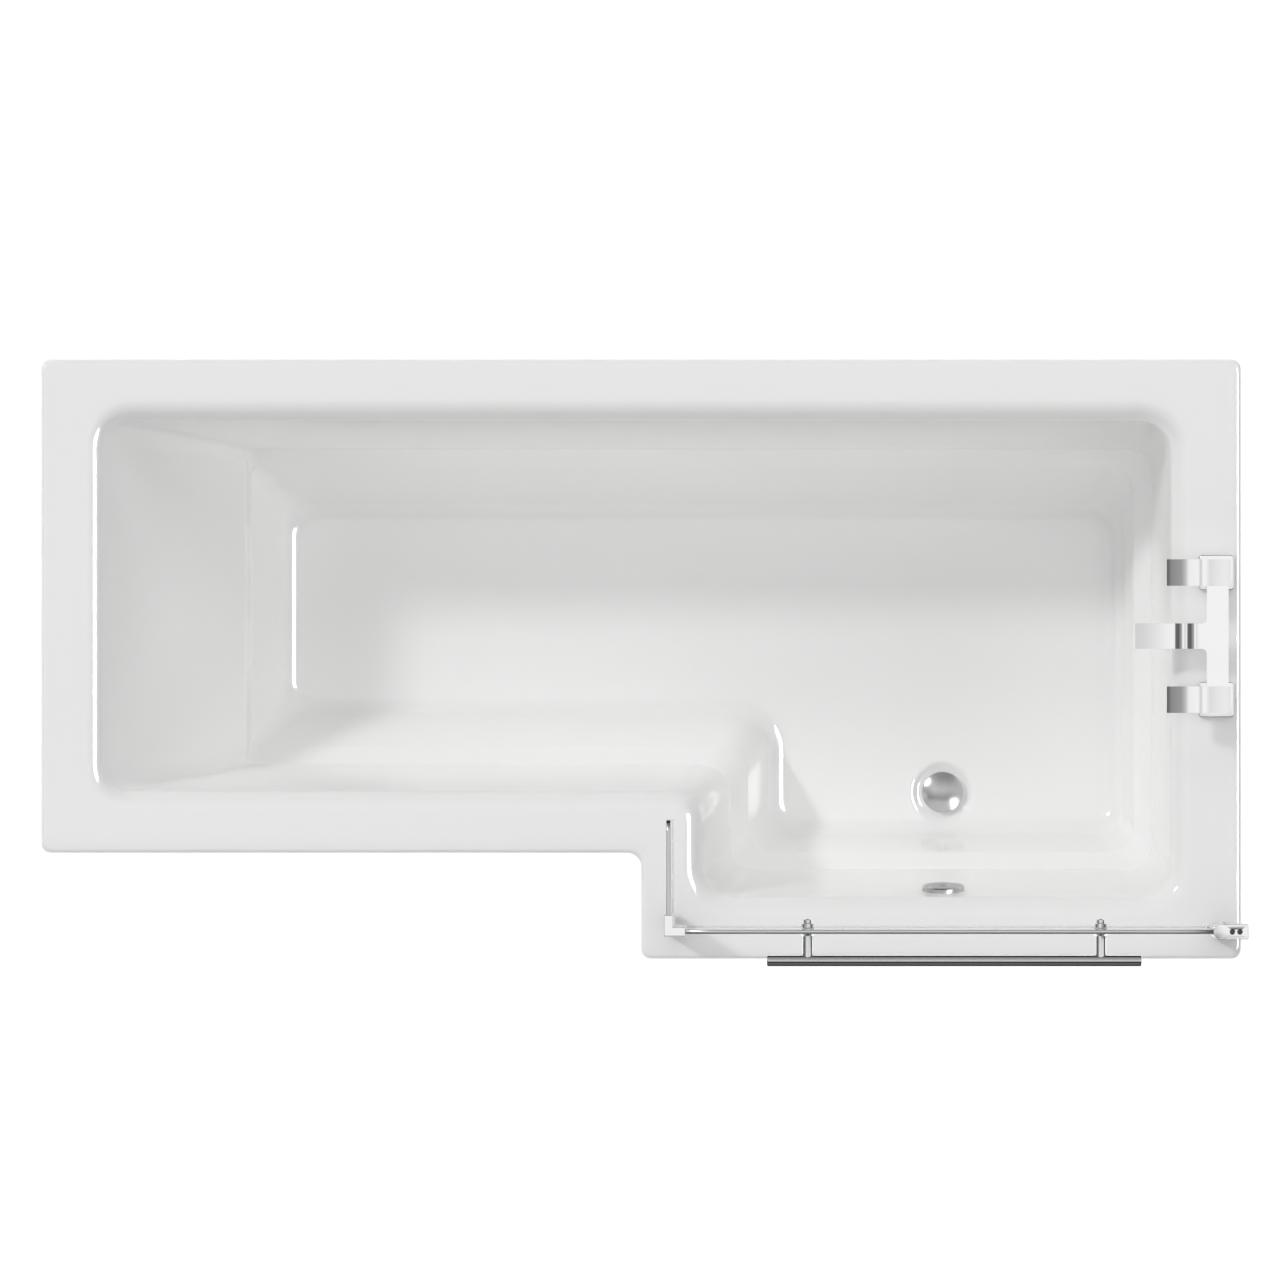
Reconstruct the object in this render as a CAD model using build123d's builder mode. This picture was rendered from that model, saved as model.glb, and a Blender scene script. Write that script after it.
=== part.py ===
"""L-shaped shower bath: acrylic bath on a leg cradle, hinged glass screen, deck filler, waste, overflow."""
from build123d import *
import math
import os

os.makedirs("parts", exist_ok=True)

# Bath outline, millimetres: +X is the tap end, +Y the wall side, +Z up, floor at zero
bath_length = 1700.0
wide_width = 850.0
narrow_width = 700.0
wide_length = 850.0
rim_height = 560.0
basin_depth = 400.0
shell = 5.0
lip_depth = 38.0
outer_corner = 14.0
step_corner = 20.0
rim_width = 84.0
head_ledge = 79.0
tap_ledge = 97.0
rim_roll = 30.0
lip_roll = 6.0

# Basin walls: how far each stretch leans in, and how deep it goes
crease_depth = 260.0
band_height = 40.0
backrest_run = 209.0
upper_lean = 42.0
tap_upper_lean = 28.0
head_band_lean = 7.0
band_lean = 25.0
head_foot_lean = 52.0
tap_foot_lean = 19.0
rear_foot_lean = 60.0
narrow_foot_lean = 54.0
wide_foot_lean = 30.0
step_foot_lean = 35.0
opening_corner = 45.0
opening_notch = 40.0
crease_corner = 36.0
crease_head_corner = 14.0
crease_notch = 44.0
floor_corner = 46.0
floor_notch = 58.0
floor_fillet = 30.0

# Waste and overflow
waste_from_tap_end = 422.0
waste_from_front = 236.0
recess_radius = 45.0
recess_seat_radius = 34.0
recess_depth = 5.0
waste_hole_radius = 24.0
waste_flange_radius = 29.0
waste_flange_height = 2.5
waste_tube_radius = 22.0
waste_bore_radius = 19.0
waste_thread = 16.0
gasket = 1.5
plug_radius = 28.0
plug_lip = 3.0
plug_height = 8.0
plug_seal_height = 2.0
plug_stem_radius = 4.0
hub_radius = 8.0
sleeve_radius = 6.0
spider_width = 3.0
spider_height = 8.0
body_seal = 3.0
waste_body_radius = 28.0
waste_body_height = 47.0
waste_spigot_radius = 22.0
waste_spigot_length = 16.0
waste_body_wall = 3.0
trap_nut_radius = 31.0
trap_nut_height = 14.0
pipe_radius = 20.0
pipe_wall = 2.2
trap_reach = 48.0
trap_clear = 8.0
outlet_rise = 52.0
outlet_length = 90.0
trap_bend = 23.9
socket_radius = 20.5
socket_wall = 3.0
socket_depth = 28.0
outlet_nut_radius = 28.0
outlet_nut_length = 20.0
overflow_depth = 80.0
overflow_hole_radius = 18.0
overflow_plate_radius = 30.0
overflow_plate_height = 7.0
overflow_seal_radius = 27.0
overflow_seal_height = 2.5
overflow_cup_depth = 22.0
overflow_screw_radius = 2.5
overflow_screw_reach = 22.0
hose_bore_radius = 9.0
hose_wall = 2.0
hose_bend = 70.0
spigot_length = 24.0

# Base board, battens and leg cradle
board_thickness = 18.0
board_corner = 20.0
board_margin = 25.0
board_hole_radius = 62.0
batten_width = 40.0
batten_thickness = 18.0
batten_setback = 8.0
batten_end_gap = 70.0
bar_width = 38.0
bar_depth = 25.0
bar_wall = 2.0
bar_setback = 75.0
leg_setback = 100.0
bar_from_head = 360.0
bar_before_step = 130.0
bar_past_step = 210.0
bar_from_tap_end = 200.0
stud_radius = 5.0
stud_above_bar = 25.0
nut_across_flats = 17.0
nut_height = 8.0
foot_radius = 25.0
foot_base = 8.0
foot_boss_radius = 11.0
foot_boss_height = 22.0
wood_screw_radius = 2.0
wood_screw_length = 16.0
wood_screw_head = 4.5
wood_screw_head_height = 2.5
board_screw_pitch = 90.0

# Front panel
panel_thickness = 3.0
panel_gap = 1.5
panel_below_rim = 26.0
panel_floor_gap = 3.0
panel_return = 24.0
tight_corner = 2.0
floor_batten_depth = 25.0
floor_batten_height = 40.0
batten_joint_gap = 5.0
panel_screw_height = 22.0
panel_screw_radius = 2.2
panel_screw_cap = 6.5
panel_screw_margin = 85.0
screw_cap_height = 3.0
screw_cap_edge = 1.0
screw_cap_slope = 2.5
clip_width = 24.0
clip_sheet = 1.5
clip_margin = 170.0

# Screen: wall profile, pivot and glass
screen_height = 1400.0
glass = 6.0
glass_inset = 42.0
pivot_from_wall = 38.0
pivot_radius = 11.0
pivot_gap = 0.5
profile_width = 21.0
profile_depth = 25.0
profile_wall = 1.8
slide_wall = 1.4
slide_fit = 0.3
slide_back_gap = 4.0
cap_height = 4.0
foot_cap_height = 5.0
cap_reach = 33.0
cap_screw_a = 22.5
cap_screw_b = 12.0
cap_screw_head = 3.9
cap_screw_radius = 1.6
cap_screw_length = 18.0
screw_port_radius = 3.4
wall_screw_low = 120.0
wall_screw_pitch = 580.0
wall_screw_radius = 2.5
pin_radius = 3.0
pin_length = 18.0
pin_seat = 3.0
pin_end_gap = 1.0
running_gap = 0.3
bush_radius = 4.5
bush_flange = 0.8
bush_flange_radius = 8.0
bush_bore = 3.05
slot_floor = 5.0
slot_gasket = 1.0
glass_rim_gap = 10.0
corner_leg = 30.0
corner_width = 13.0
corner_cap = 3.0
corner_wall_gap = 4.0
return_length = 156.0
glass_corner = 12.0
seal_wall = 1.5
seal_grip = 12.0
seal_web = 2.0
seal_rim_gap = 1.0
fin_width = 2.0

# Towel rail
rail_diameter = 19.0
rail_reach = 42.8
rail_length = 527.0
rail_post_pitch = 412.0
rail_centre_from_pivot = 370.0
rail_above_rim = 640.0
post_radius = 8.0
post_flange_radius = 11.0
post_flange = 4.0
rail_washer = 1.0
rail_washer_radius = 9.0
knob_radius = 9.0
knob_collar = 5.0
knob_neck_radius = 6.0
knob_height = 12.0
rail_stud_radius = 3.0
rail_stud_depth = 8.0
rail_end_round = 1.5
post_flange_edge = 1.0
knob_edge = 1.0

# Deck filler
tap_from_edge = 35.0
tap_from_rear = 393.0
tap_centres = 180.0
base_plate = 50.0
base_plate_corner = 4.0
base_plate_height = 6.0
base_plate_round = 1.5
deck_gasket = 1.0
pillar_radius = 15.0
bridge_height = 46.0
bridge_width = 31.0
bridge_offset = 1.5
bridge_thickness = 13.0
tap_fillet = 7.0
spout_width = 36.0
spout_reach = 115.0
spout_thickness = 9.0
spout_waterway = 4.0
spout_shoulder = 31.0
spout_drop = 6.5
spout_tread = 8.0
spout_riser = 9.0
spout_fall = 3.0
aerator_radius = 10.5
aerator_height = 4.0
aerator_wall = 1.5
aerator_bar = 1.0
outlet_back = 16.0
cartridge_radius = 10.5
cartridge_height = 34.0
spindle_radius = 4.0
spindle_gap = 0.05
spindle_depth = 12.0
spindle_grip = 10.0
collar_radius = 13.0
collar_height = 12.0
lever_width = 37.5
lever_tip = 69.0
lever_back = 19.0
lever_thickness = 5.0
lever_crown = 13.0
lever_heel = 5.0
lever_rise = 3.0
grub_radius = 2.0
grub_sunk = 1.0
tail_radius = 13.2
tail_bore = 9.0
tail_grip = 10.0
tail_length = 55.0
tail_undercut = 2.0
tail_hole_radius = 14.5
backnut_across_flats = 38.0
backnut_height = 9.0
deck_washer_radius = 20.0
deck_washer = 2.0

# Places that follow from the sizes
rail_overhang = rail_reach + rail_diameter / 2 - glass_inset
rear = (wide_width + rail_overhang) / 2
tap_end = bath_length / 2
head = -tap_end
wide_front = rear - wide_width
narrow_front = rear - narrow_width
step = tap_end - wide_length
floor_level = rim_height - basin_depth
floor_under = floor_level - shell
lip_bottom = rim_height - lip_depth
screen_top = rim_height + screen_height

# Insets from the outer sides, in the order head, tap end, rear, narrow front, wide front, step
rim_edge = (0.0,) * 6
opening = (head_ledge, tap_ledge) + (rim_width,) * 4
upper_walls = (backrest_run, tap_upper_lean) + (upper_lean,) * 4
band_walls = (head_band_lean,) + (band_lean,) * 5
foot_walls = (
    head_foot_lean, tap_foot_lean, rear_foot_lean, narrow_foot_lean, wide_foot_lean, step_foot_lean,
)


def moved_in(insets, steps):
    """Insets with a further step in on each side"""
    return tuple(inset + step_in for inset, step_in in zip(insets, steps))


def grown(insets, amount):
    """Insets with every side moved outward by one amount"""
    return tuple(inset - amount for inset in insets)


crease = moved_in(opening, upper_walls)
band = moved_in(crease, band_walls)
floor_line = moved_in(band, foot_walls)


def l_outline(height, insets, head_radius, corner_radius, notch_radius):
    """L-shaped face at a height, set in from each outer side, its step's rounds no longer than the step"""
    head_in, tap_in, rear_in, narrow_in, wide_in, step_in = insets
    corners = (
        (head + head_in, rear - rear_in),
        (tap_end - tap_in, rear - rear_in),
        (tap_end - tap_in, wide_front + wide_in),
        (step + step_in, wide_front + wide_in),
        (step + step_in, narrow_front + narrow_in),
        (head + head_in, narrow_front + narrow_in),
    )
    step_room = 0.49 * (narrow_front + narrow_in - wide_front - wide_in)
    nose_radius, notch_radius = min(corner_radius, step_room), min(notch_radius, step_room)
    radii = (head_radius, corner_radius, corner_radius, nose_radius, notch_radius, head_radius)
    with BuildSketch(Plane.XY.offset(height)) as outline:
        with BuildLine():
            Polyline(*corners, close=True)
        make_face()
        for corner, radius in zip(corners, radii):
            fillet(outline.vertices().sort_by_distance((*corner, height))[0], radius)
    return outline.sketch


def basin(wall):
    """Solid of the basin's hollow, thicker than it all round by the wall"""
    levels = (
        (rim_height, opening, opening_corner, opening_corner, opening_notch),
        (rim_height - crease_depth, crease, crease_head_corner, crease_corner, crease_notch),
        (rim_height - crease_depth - band_height, band, crease_head_corner, crease_corner, crease_notch),
        (floor_level, floor_line, floor_corner, floor_corner, floor_notch),
    )
    outlines = [
        l_outline(height - wall, grown(insets, wall), at_head + wall, at_corner + wall, at_notch - wall)
        for height, insets, at_head, at_corner, at_notch in levels
    ]
    with BuildPart() as hollow:
        for upper, lower in zip(outlines, outlines[1:]):
            loft([upper, lower], ruled=True)
        fillet(hollow.faces().sort_by(Axis.Z)[0].edges(), floor_fillet + wall)
    return hollow.part


def turned(start, direction, *profile, mode=Mode.ADD):
    """Turned solid about an axis: the profile's points are distance along it and radius"""
    across = (0, 0, 1) if direction[0] else (1, 0, 0)
    with BuildSketch(Plane(origin=start, x_dir=direction, z_dir=across)) as section:
        with BuildLine():
            Polyline(*profile, close=True)
        make_face()
    revolve(section.sketch, axis=Axis(start, direction), mode=mode)


def rod(start, direction, radius, length, mode=Mode.ADD):
    """Round bar from a start point along a direction"""
    turned(start, direction, (0, 0), (0, radius), (length, radius), (length, 0), mode=mode)


def ring(start, direction, outer, inner, length):
    """Plain tube or washer from a start point along a direction"""
    turned(start, direction, (0, inner), (0, outer), (length, outer), (length, inner))


def block(low, high, mode=Mode.ADD):
    """Rectangular block between two opposite corners"""
    with Locations(tuple((a + b) / 2 for a, b in zip(low, high))):
        Box(*(b - a for a, b in zip(low, high)), mode=mode)


def hexagon(start, across_flats, bore, height):
    """Hexagon nut standing on a point, bored through"""
    with BuildSketch(Plane(origin=start)) as nut:
        RegularPolygon(across_flats / 2, 6, major_radius=False)
        Circle(bore, mode=Mode.SUBTRACT)
    extrude(nut.sketch, amount=height)


UP = (0, 0, 1)
DOWN = (0, 0, -1)
OUTWARD = (0, -1, 0)
TO_WALL = (1, 0, 0)

# Waste and overflow places
waste_x = tap_end - waste_from_tap_end
waste_y = wide_front + waste_from_front
seat_level = floor_level - recess_depth
seat_under = seat_level - shell
body_top = seat_under - body_seal
body_bottom = body_top - waste_body_height
hose_level = body_bottom + waste_body_wall + hose_bore_radius + hose_wall + 2 * waste_body_wall

lean_angle = math.atan2(upper_lean, crease_depth)
lean_cos, lean_sin = math.cos(lean_angle), math.sin(lean_angle)
overflow_y = wide_front + rim_width + upper_lean * overflow_depth / crease_depth
overflow_z = rim_height - overflow_depth
overflow_wall = shell * (lean_cos + lean_sin)
inward = (0, lean_cos, lean_sin)


def overflow_point(distance):
    """Point on the overflow's axis, measured from the wall's face into the basin"""
    return (waste_x, overflow_y + distance * lean_cos, overflow_z + distance * lean_sin)


# Tap places
tap_x = tap_end - tap_from_edge
tap_y = rear - tap_from_rear
tap_ys = (tap_y + tap_centres / 2, tap_y - tap_centres / 2)
plate_bottom = rim_height + deck_gasket
plate_top = plate_bottom + base_plate_height
backnut_bottom = rim_height - shell - deck_washer - backnut_height
bridge_bottom = rim_height + bridge_height
bridge_top = bridge_bottom + bridge_thickness

# Cradle and panel places
panel_top = rim_height - panel_below_rim
board_bottom = floor_under - board_thickness
bar_web = board_bottom - bar_wall
bars = (
    (head + bar_from_head, narrow_front), (step - bar_before_step, narrow_front),
    (step + bar_past_step, wide_front), (tap_end - bar_from_tap_end, wide_front),
)
legs = [(x, y) for x, front in bars for y in (front + leg_setback, rear - leg_setback)]
board_screw_places = [
    (x, (front + rear) / 2 + side * board_screw_pitch) for x, front in bars for side in (-1, 0, 1)
]

# Screen places
pivot_x = tap_end - pivot_from_wall
glass_y = wide_front + glass_inset
return_x = step + glass_inset
foot_cap_top = rim_height + foot_cap_height
top_cap_under = screen_top - cap_height
post_bottom = foot_cap_top + running_gap + bush_flange
post_top = top_cap_under - running_gap - bush_flange
glass_bottom = rim_height + glass_rim_gap
glass_end = pivot_x - slot_floor - slot_gasket
corner_x = return_x - corner_width / 2
corner_y = glass_y - corner_width / 2
cap_screw_xs = (tap_end - cap_screw_a, tap_end - cap_screw_b)
rail_x = pivot_x - rail_centre_from_pivot
rail_z = rim_height + rail_above_rim
rail_y = glass_y - rail_reach
post_xs = (rail_x - rail_post_pitch / 2, rail_x + rail_post_pitch / 2)
glass_outside = glass_y - glass / 2
glass_inside = glass_y + glass / 2

# How far a face's height may be off a level and still count as lying on it
level_slack = 0.01


# Acrylic shell: rim with a turned-down lip, and the basin hung from it
with BuildPart() as bath_shell:
    add(basin(shell))
    extrude(l_outline(rim_height - shell, rim_edge, outer_corner, outer_corner, step_corner), amount=shell)
    slab_under = bath_shell.faces().filter_by_position(Axis.Z, rim_height - shell - level_slack, rim_height - shell + level_slack)
    fillet(slab_under.sort_by(SortBy.AREA)[-1].inner_wires()[0].edges(), rim_roll - shell)
    lip_outer = l_outline(lip_bottom, rim_edge, outer_corner, outer_corner, step_corner)
    lip_inner = l_outline(
        lip_bottom, grown(rim_edge, -shell), outer_corner - shell, outer_corner - shell, step_corner + shell
    )
    extrude(lip_outer - lip_inner, amount=lip_depth - shell)
    rod((waste_x, waste_y, seat_under), UP, recess_radius + shell, recess_depth + 2 * shell)
    add(basin(0.0), mode=Mode.SUBTRACT)
    rim_top = bath_shell.faces().filter_by_position(Axis.Z, rim_height - level_slack, rim_height + level_slack)
    fillet(rim_top.sort_by(SortBy.AREA)[-1].inner_wires()[0].edges(), rim_roll)
    rim_top = bath_shell.faces().filter_by_position(Axis.Z, rim_height - level_slack, rim_height + level_slack)
    fillet(rim_top.sort_by(SortBy.AREA)[-1].outer_wire().edges(), lip_roll)
    turned(
        (waste_x, waste_y, seat_level), UP, (0, 0), (0, recess_seat_radius), (recess_depth, recess_radius),
        (recess_depth + 2 * shell, recess_radius), (recess_depth + 2 * shell, 0), mode=Mode.SUBTRACT,
    )
    rod((waste_x, waste_y, seat_level), DOWN, waste_hole_radius, shell, mode=Mode.SUBTRACT)
    rod(overflow_point(-2 * shell), inward, overflow_hole_radius, 4 * shell, mode=Mode.SUBTRACT)
    for y in tap_ys:
        rod((tap_x, y, rim_height), DOWN, tail_hole_radius, shell, mode=Mode.SUBTRACT)


# Board laminated under the floor, and timber battens under the rim
with BuildPart() as base_board:
    board_insets = grown(floor_line, -board_margin)
    board_outline = l_outline(board_bottom, board_insets, board_corner, board_corner, board_corner)
    extrude(board_outline, amount=board_thickness)
    rod((waste_x, waste_y, floor_under), DOWN, board_hole_radius, board_thickness, mode=Mode.SUBTRACT)
    for x, y in board_screw_places:
        rod((x, y, board_bottom), UP, wood_screw_radius, wood_screw_length - bar_wall, mode=Mode.SUBTRACT)

batten_top = rim_height - shell
batten_bottom = batten_top - batten_thickness
near, far = batten_setback, batten_setback + batten_width
with BuildPart() as rim_battens:
    block(
        (head + batten_end_gap, rear - far, batten_bottom),
        (tap_end - batten_end_gap, rear - near, batten_top),
    )
    block(
        (head + near, narrow_front + batten_end_gap, batten_bottom),
        (head + far, rear - batten_end_gap, batten_top),
    )
    block(
        (head + batten_end_gap, narrow_front + near, batten_bottom),
        (step - near, narrow_front + far, batten_top),
    )
    block(
        (step + batten_end_gap, wide_front + near, batten_bottom),
        (tap_end - batten_end_gap, wide_front + far, batten_top),
    )

# Leg cradle: pressed channels under the board, a threaded foot near each end
with BuildPart() as leg_bars:
    for x, front in bars:
        low_x, high_x = x - bar_width / 2, x + bar_width / 2
        low_y, high_y = front + bar_setback, rear - bar_setback
        block((low_x, low_y, board_bottom - bar_depth), (high_x, high_y, board_bottom))
        block(
            (low_x + bar_wall, low_y, board_bottom - bar_depth), (high_x - bar_wall, high_y, bar_web),
            mode=Mode.SUBTRACT,
        )
    for x, y in legs:
        rod((x, y, board_bottom), DOWN, stud_radius, bar_wall, mode=Mode.SUBTRACT)
    for x, y in board_screw_places:
        rod((x, y, board_bottom), DOWN, wood_screw_radius, bar_wall, mode=Mode.SUBTRACT)

with BuildPart() as leg_studs:
    for x, y in legs:
        rod((x, y, foot_base), UP, stud_radius, board_bottom + stud_above_bar - foot_base)

with BuildPart() as leg_nuts:
    for x, y in legs:
        hexagon((x, y, board_bottom), nut_across_flats, stud_radius, nut_height)
        hexagon((x, y, bar_web - nut_height), nut_across_flats, stud_radius, nut_height)

with BuildPart() as foot_pads:
    for x, y in legs:
        turned(
            (x, y, 0), UP, (0, 0), (0, foot_radius), (foot_base / 2, foot_radius),
            (foot_base, foot_boss_radius),
            (foot_boss_height, foot_boss_radius), (foot_boss_height, stud_radius), (foot_base, stud_radius),
            (foot_base, 0),
        )

with BuildPart() as board_screws:
    for x, y in board_screw_places:
        turned(
            (x, y, bar_web), UP, (-wood_screw_head_height, 0), (-wood_screw_head_height, wood_screw_radius),
            (0, wood_screw_head), (0, wood_screw_radius),
            (wood_screw_length - wood_screw_radius, wood_screw_radius),
            (wood_screw_length, 0),
        )

# Front panel behind the lip, following the step, on battens screwed to the floor
panel_inset = shell + panel_gap


def front_band(height, width):
    """L-shaped strip behind the lip along the narrow front, the step and the wide front"""
    outer, inner = panel_inset, panel_inset + width
    with BuildSketch(Plane.XY.offset(height)) as strip:
        with BuildLine():
            Polyline(
                (head + outer_corner, narrow_front + outer), (step + outer, narrow_front + outer),
                (step + outer, wide_front + outer), (tap_end - outer_corner, wide_front + outer),
                (tap_end - outer_corner, wide_front + inner), (step + inner, wide_front + inner),
                (step + inner, narrow_front + inner), (head + outer_corner, narrow_front + inner),
                close=True,
            )
        make_face()
        for inset in (outer, inner):
            notch = (step + inset, narrow_front + inset, height)
            nose = (step + inset, wide_front + inset, height)
            fillet(strip.vertices().sort_by_distance(notch)[0], step_corner + inset)
            fillet(strip.vertices().sort_by_distance(nose)[0], max(outer_corner - inset, tight_corner))
    return strip.sketch


panel_screw_places = [
    (x, front + panel_inset)
    for start, end, front in ((head, step, narrow_front), (step, tap_end, wide_front))
    for x in (start + panel_screw_margin, (start + end) / 2, end - panel_screw_margin)
]
with BuildPart() as front_panel:
    extrude(front_band(panel_floor_gap, panel_thickness), amount=panel_top - panel_floor_gap)
    extrude(front_band(panel_top - panel_thickness, panel_return), amount=panel_thickness)
    for x, y in panel_screw_places:
        rod((x, y, panel_screw_height), (0, 1, 0), panel_screw_radius, panel_thickness, mode=Mode.SUBTRACT)

batten_face = panel_inset + panel_thickness
with BuildPart() as floor_battens:
    batten_back = batten_face + floor_batten_depth
    block(
        (head + outer_corner, narrow_front + batten_face, 0),
        (step - step_corner, narrow_front + batten_back, floor_batten_height),
    )
    block(
        (step + batten_face, wide_front + batten_back + batten_joint_gap, 0),
        (step + batten_back, narrow_front - step_corner, floor_batten_height),
    )
    block(
        (step + batten_face + outer_corner, wide_front + batten_face, 0),
        (tap_end - outer_corner, wide_front + batten_back, floor_batten_height),
    )
    for x, y in panel_screw_places:
        rod(
            (x, y + panel_thickness, panel_screw_height), (0, 1, 0), panel_screw_radius,
            wood_screw_length, mode=Mode.SUBTRACT,
        )

with BuildPart() as panel_screws:
    for x, y in panel_screw_places:
        rod((x, y, panel_screw_height), (0, 1, 0), panel_screw_radius, panel_thickness + wood_screw_length)

with BuildPart() as panel_screw_caps:
    for x, y in panel_screw_places:
        turned(
            (x, y, panel_screw_height), OUTWARD, (0, 0), (0, panel_screw_cap),
            (screw_cap_edge, panel_screw_cap), (screw_cap_height, panel_screw_cap - screw_cap_slope),
            (screw_cap_height, 0),
        )

# Spring clips under the rim battens hold the panel's turned-in top edge
clip_places = [
    (x, front) for start, end, front in ((head, step, narrow_front), (step, tap_end, wide_front))
    for x in (start + clip_margin, end - clip_margin)
]
with BuildPart() as panel_clips:
    for x, front in clip_places:
        face = front + panel_inset + panel_return
        hook = panel_top - panel_thickness - clip_sheet
        with BuildSketch(Plane.YZ.offset(x - clip_width / 2)) as clip:
            with BuildLine():
                Polyline(
                    (face - panel_return / 2, hook), (face + 2 * clip_sheet, hook),
                    (face + 2 * clip_sheet, batten_bottom - clip_sheet),
                    (front + far, batten_bottom - clip_sheet),
                    (front + far, batten_bottom), (face + clip_sheet, batten_bottom),
                    (face + clip_sheet, hook + clip_sheet),
                    (face - panel_return / 2, hook + clip_sheet), close=True,
                )
            make_face()
        extrude(clip.sketch, amount=clip_width)

# Screen profile on the wall and the slide inside it
profile_front = tap_end - profile_depth
slide_half = profile_width / 2 - profile_wall - slide_fit
slide_back = tap_end - profile_wall - slide_back_gap
wall_screw_heights = [rim_height + wall_screw_low + n * wall_screw_pitch for n in range(3)]
with BuildPart() as wall_profile:
    block(
        (profile_front, glass_y - profile_width / 2, foot_cap_top),
        (tap_end, glass_y + profile_width / 2, top_cap_under),
    )
    block(
        (profile_front, glass_y - profile_width / 2 + profile_wall, foot_cap_top),
        (tap_end - profile_wall, glass_y + profile_width / 2 - profile_wall, top_cap_under),
        mode=Mode.SUBTRACT,
    )
    for z in wall_screw_heights:
        rod(
            (tap_end - profile_wall, glass_y, z), TO_WALL, wall_screw_radius, profile_wall,
            mode=Mode.SUBTRACT,
        )

with BuildPart() as slide_profile:
    with BuildSketch(Plane.XY.offset(foot_cap_top)) as slide:
        slide_front = pivot_x + pivot_radius / 2
        with Locations(((slide_front + slide_back) / 2, glass_y)):
            Rectangle(slide_back - slide_front, 2 * slide_half)
        hollow_front = pivot_x + pivot_radius + pivot_gap + slide_wall
        hollow_back = slide_back - slide_wall
        with Locations(((hollow_front + hollow_back) / 2, glass_y)):
            Rectangle(hollow_back - hollow_front, 2 * (slide_half - slide_wall), mode=Mode.SUBTRACT)
        with Locations(*((x, glass_y) for x in cap_screw_xs)):
            Circle(screw_port_radius)
            Rectangle(slide_wall, 2 * slide_half - slide_wall)
            Circle(cap_screw_radius, mode=Mode.SUBTRACT)
        with Locations((pivot_x, glass_y)):
            Circle(pivot_radius + pivot_gap, mode=Mode.SUBTRACT)
    extrude(slide.sketch, amount=top_cap_under - foot_cap_top)


def cap_outline(height):
    """Plan of a screen cap: a disc over the pivot and a tongue back to the wall"""
    with BuildSketch(Plane.XY.offset(height)) as cap:
        with Locations((pivot_x, glass_y)):
            Circle(pivot_radius)
        with Locations((tap_end - cap_reach / 2, glass_y)):
            Rectangle(cap_reach, profile_width)
    return cap.sketch


with BuildPart() as top_cap:
    extrude(cap_outline(top_cap_under), amount=cap_height)
    rod((pivot_x, glass_y, top_cap_under), UP, pin_radius, pin_seat, mode=Mode.SUBTRACT)
    fillet(top_cap.faces().sort_by(Axis.Z)[-1].edges(), cap_height / 5)
    for x in cap_screw_xs:
        rod((x, glass_y, top_cap_under), UP, cap_screw_radius, cap_height, mode=Mode.SUBTRACT)
        rod((x, glass_y, screen_top), DOWN, cap_screw_head, cap_height / 2, mode=Mode.SUBTRACT)

with BuildPart() as foot_cap:
    extrude(cap_outline(rim_height), amount=foot_cap_height)
    rod((pivot_x, glass_y, foot_cap_top), DOWN, pin_radius, pin_seat, mode=Mode.SUBTRACT)
    for x in cap_screw_xs:
        rod((x, glass_y, rim_height), UP, cap_screw_radius, foot_cap_height, mode=Mode.SUBTRACT)
        rod((x, glass_y, rim_height), UP, cap_screw_head, foot_cap_height / 2, mode=Mode.SUBTRACT)


def cap_screw(x, seat, direction, head_height):
    """Screw with its head in a cap's recess and its shank in the slide's port"""
    with BuildSketch(Plane(origin=(x, glass_y, seat), z_dir=direction)) as driver:
        with Locations((0, 0)):
            Rectangle(cap_screw_head, cap_screw_radius / 2)
            Rectangle(cap_screw_radius / 2, cap_screw_head)
    turned(
        (x, glass_y, seat), direction, (-cap_screw_length, 0), (-cap_screw_length, cap_screw_radius),
        (0, cap_screw_radius), (0, cap_screw_head), (head_height / 2, cap_screw_head),
        (head_height, cap_screw_head - head_height), (head_height, 0),
    )
    extrude(driver.sketch.moved(Location((0, 0, direction[2] * head_height))), amount=-head_height / 2,
            mode=Mode.SUBTRACT)


with BuildPart() as cap_screws:
    for x in cap_screw_xs:
        cap_screw(x, screen_top - cap_height / 2, UP, cap_height / 2 - pin_seat / 6)
        cap_screw(x, rim_height + foot_cap_height / 2, DOWN, foot_cap_height / 2 - pin_seat / 6)

with BuildPart() as hinge_pins:
    rod((pivot_x, glass_y, foot_cap_top - pin_seat), UP, pin_radius, pin_length)
    rod((pivot_x, glass_y, top_cap_under + pin_seat), DOWN, pin_radius, pin_length)

# Swinging post with its bushes, and the glass gripped in its slot
slot_width = glass + 2 * slot_gasket
bush_length = pin_length - pin_seat + pin_end_gap
with BuildPart() as pivot_post:
    rod((pivot_x, glass_y, post_bottom), UP, pivot_radius, post_top - post_bottom)
    block(
        (pivot_x - pivot_radius, glass_y - slot_width / 2, post_bottom),
        (pivot_x - slot_floor, glass_y + slot_width / 2, post_top), mode=Mode.SUBTRACT,
    )
    rod((pivot_x, glass_y, post_bottom), UP, bush_radius, bush_length, mode=Mode.SUBTRACT)
    rod((pivot_x, glass_y, post_top), DOWN, bush_radius, bush_length, mode=Mode.SUBTRACT)

with BuildPart() as pivot_bushes:
    for end, direction in ((post_bottom, UP), (post_top, DOWN)):
        turned(
            (pivot_x, glass_y, end), direction, (-bush_flange, bush_bore),
            (-bush_flange, bush_flange_radius),
            (0, bush_flange_radius), (0, bush_radius), (bush_length, bush_radius), (bush_length, bush_bore),
        )

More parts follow.
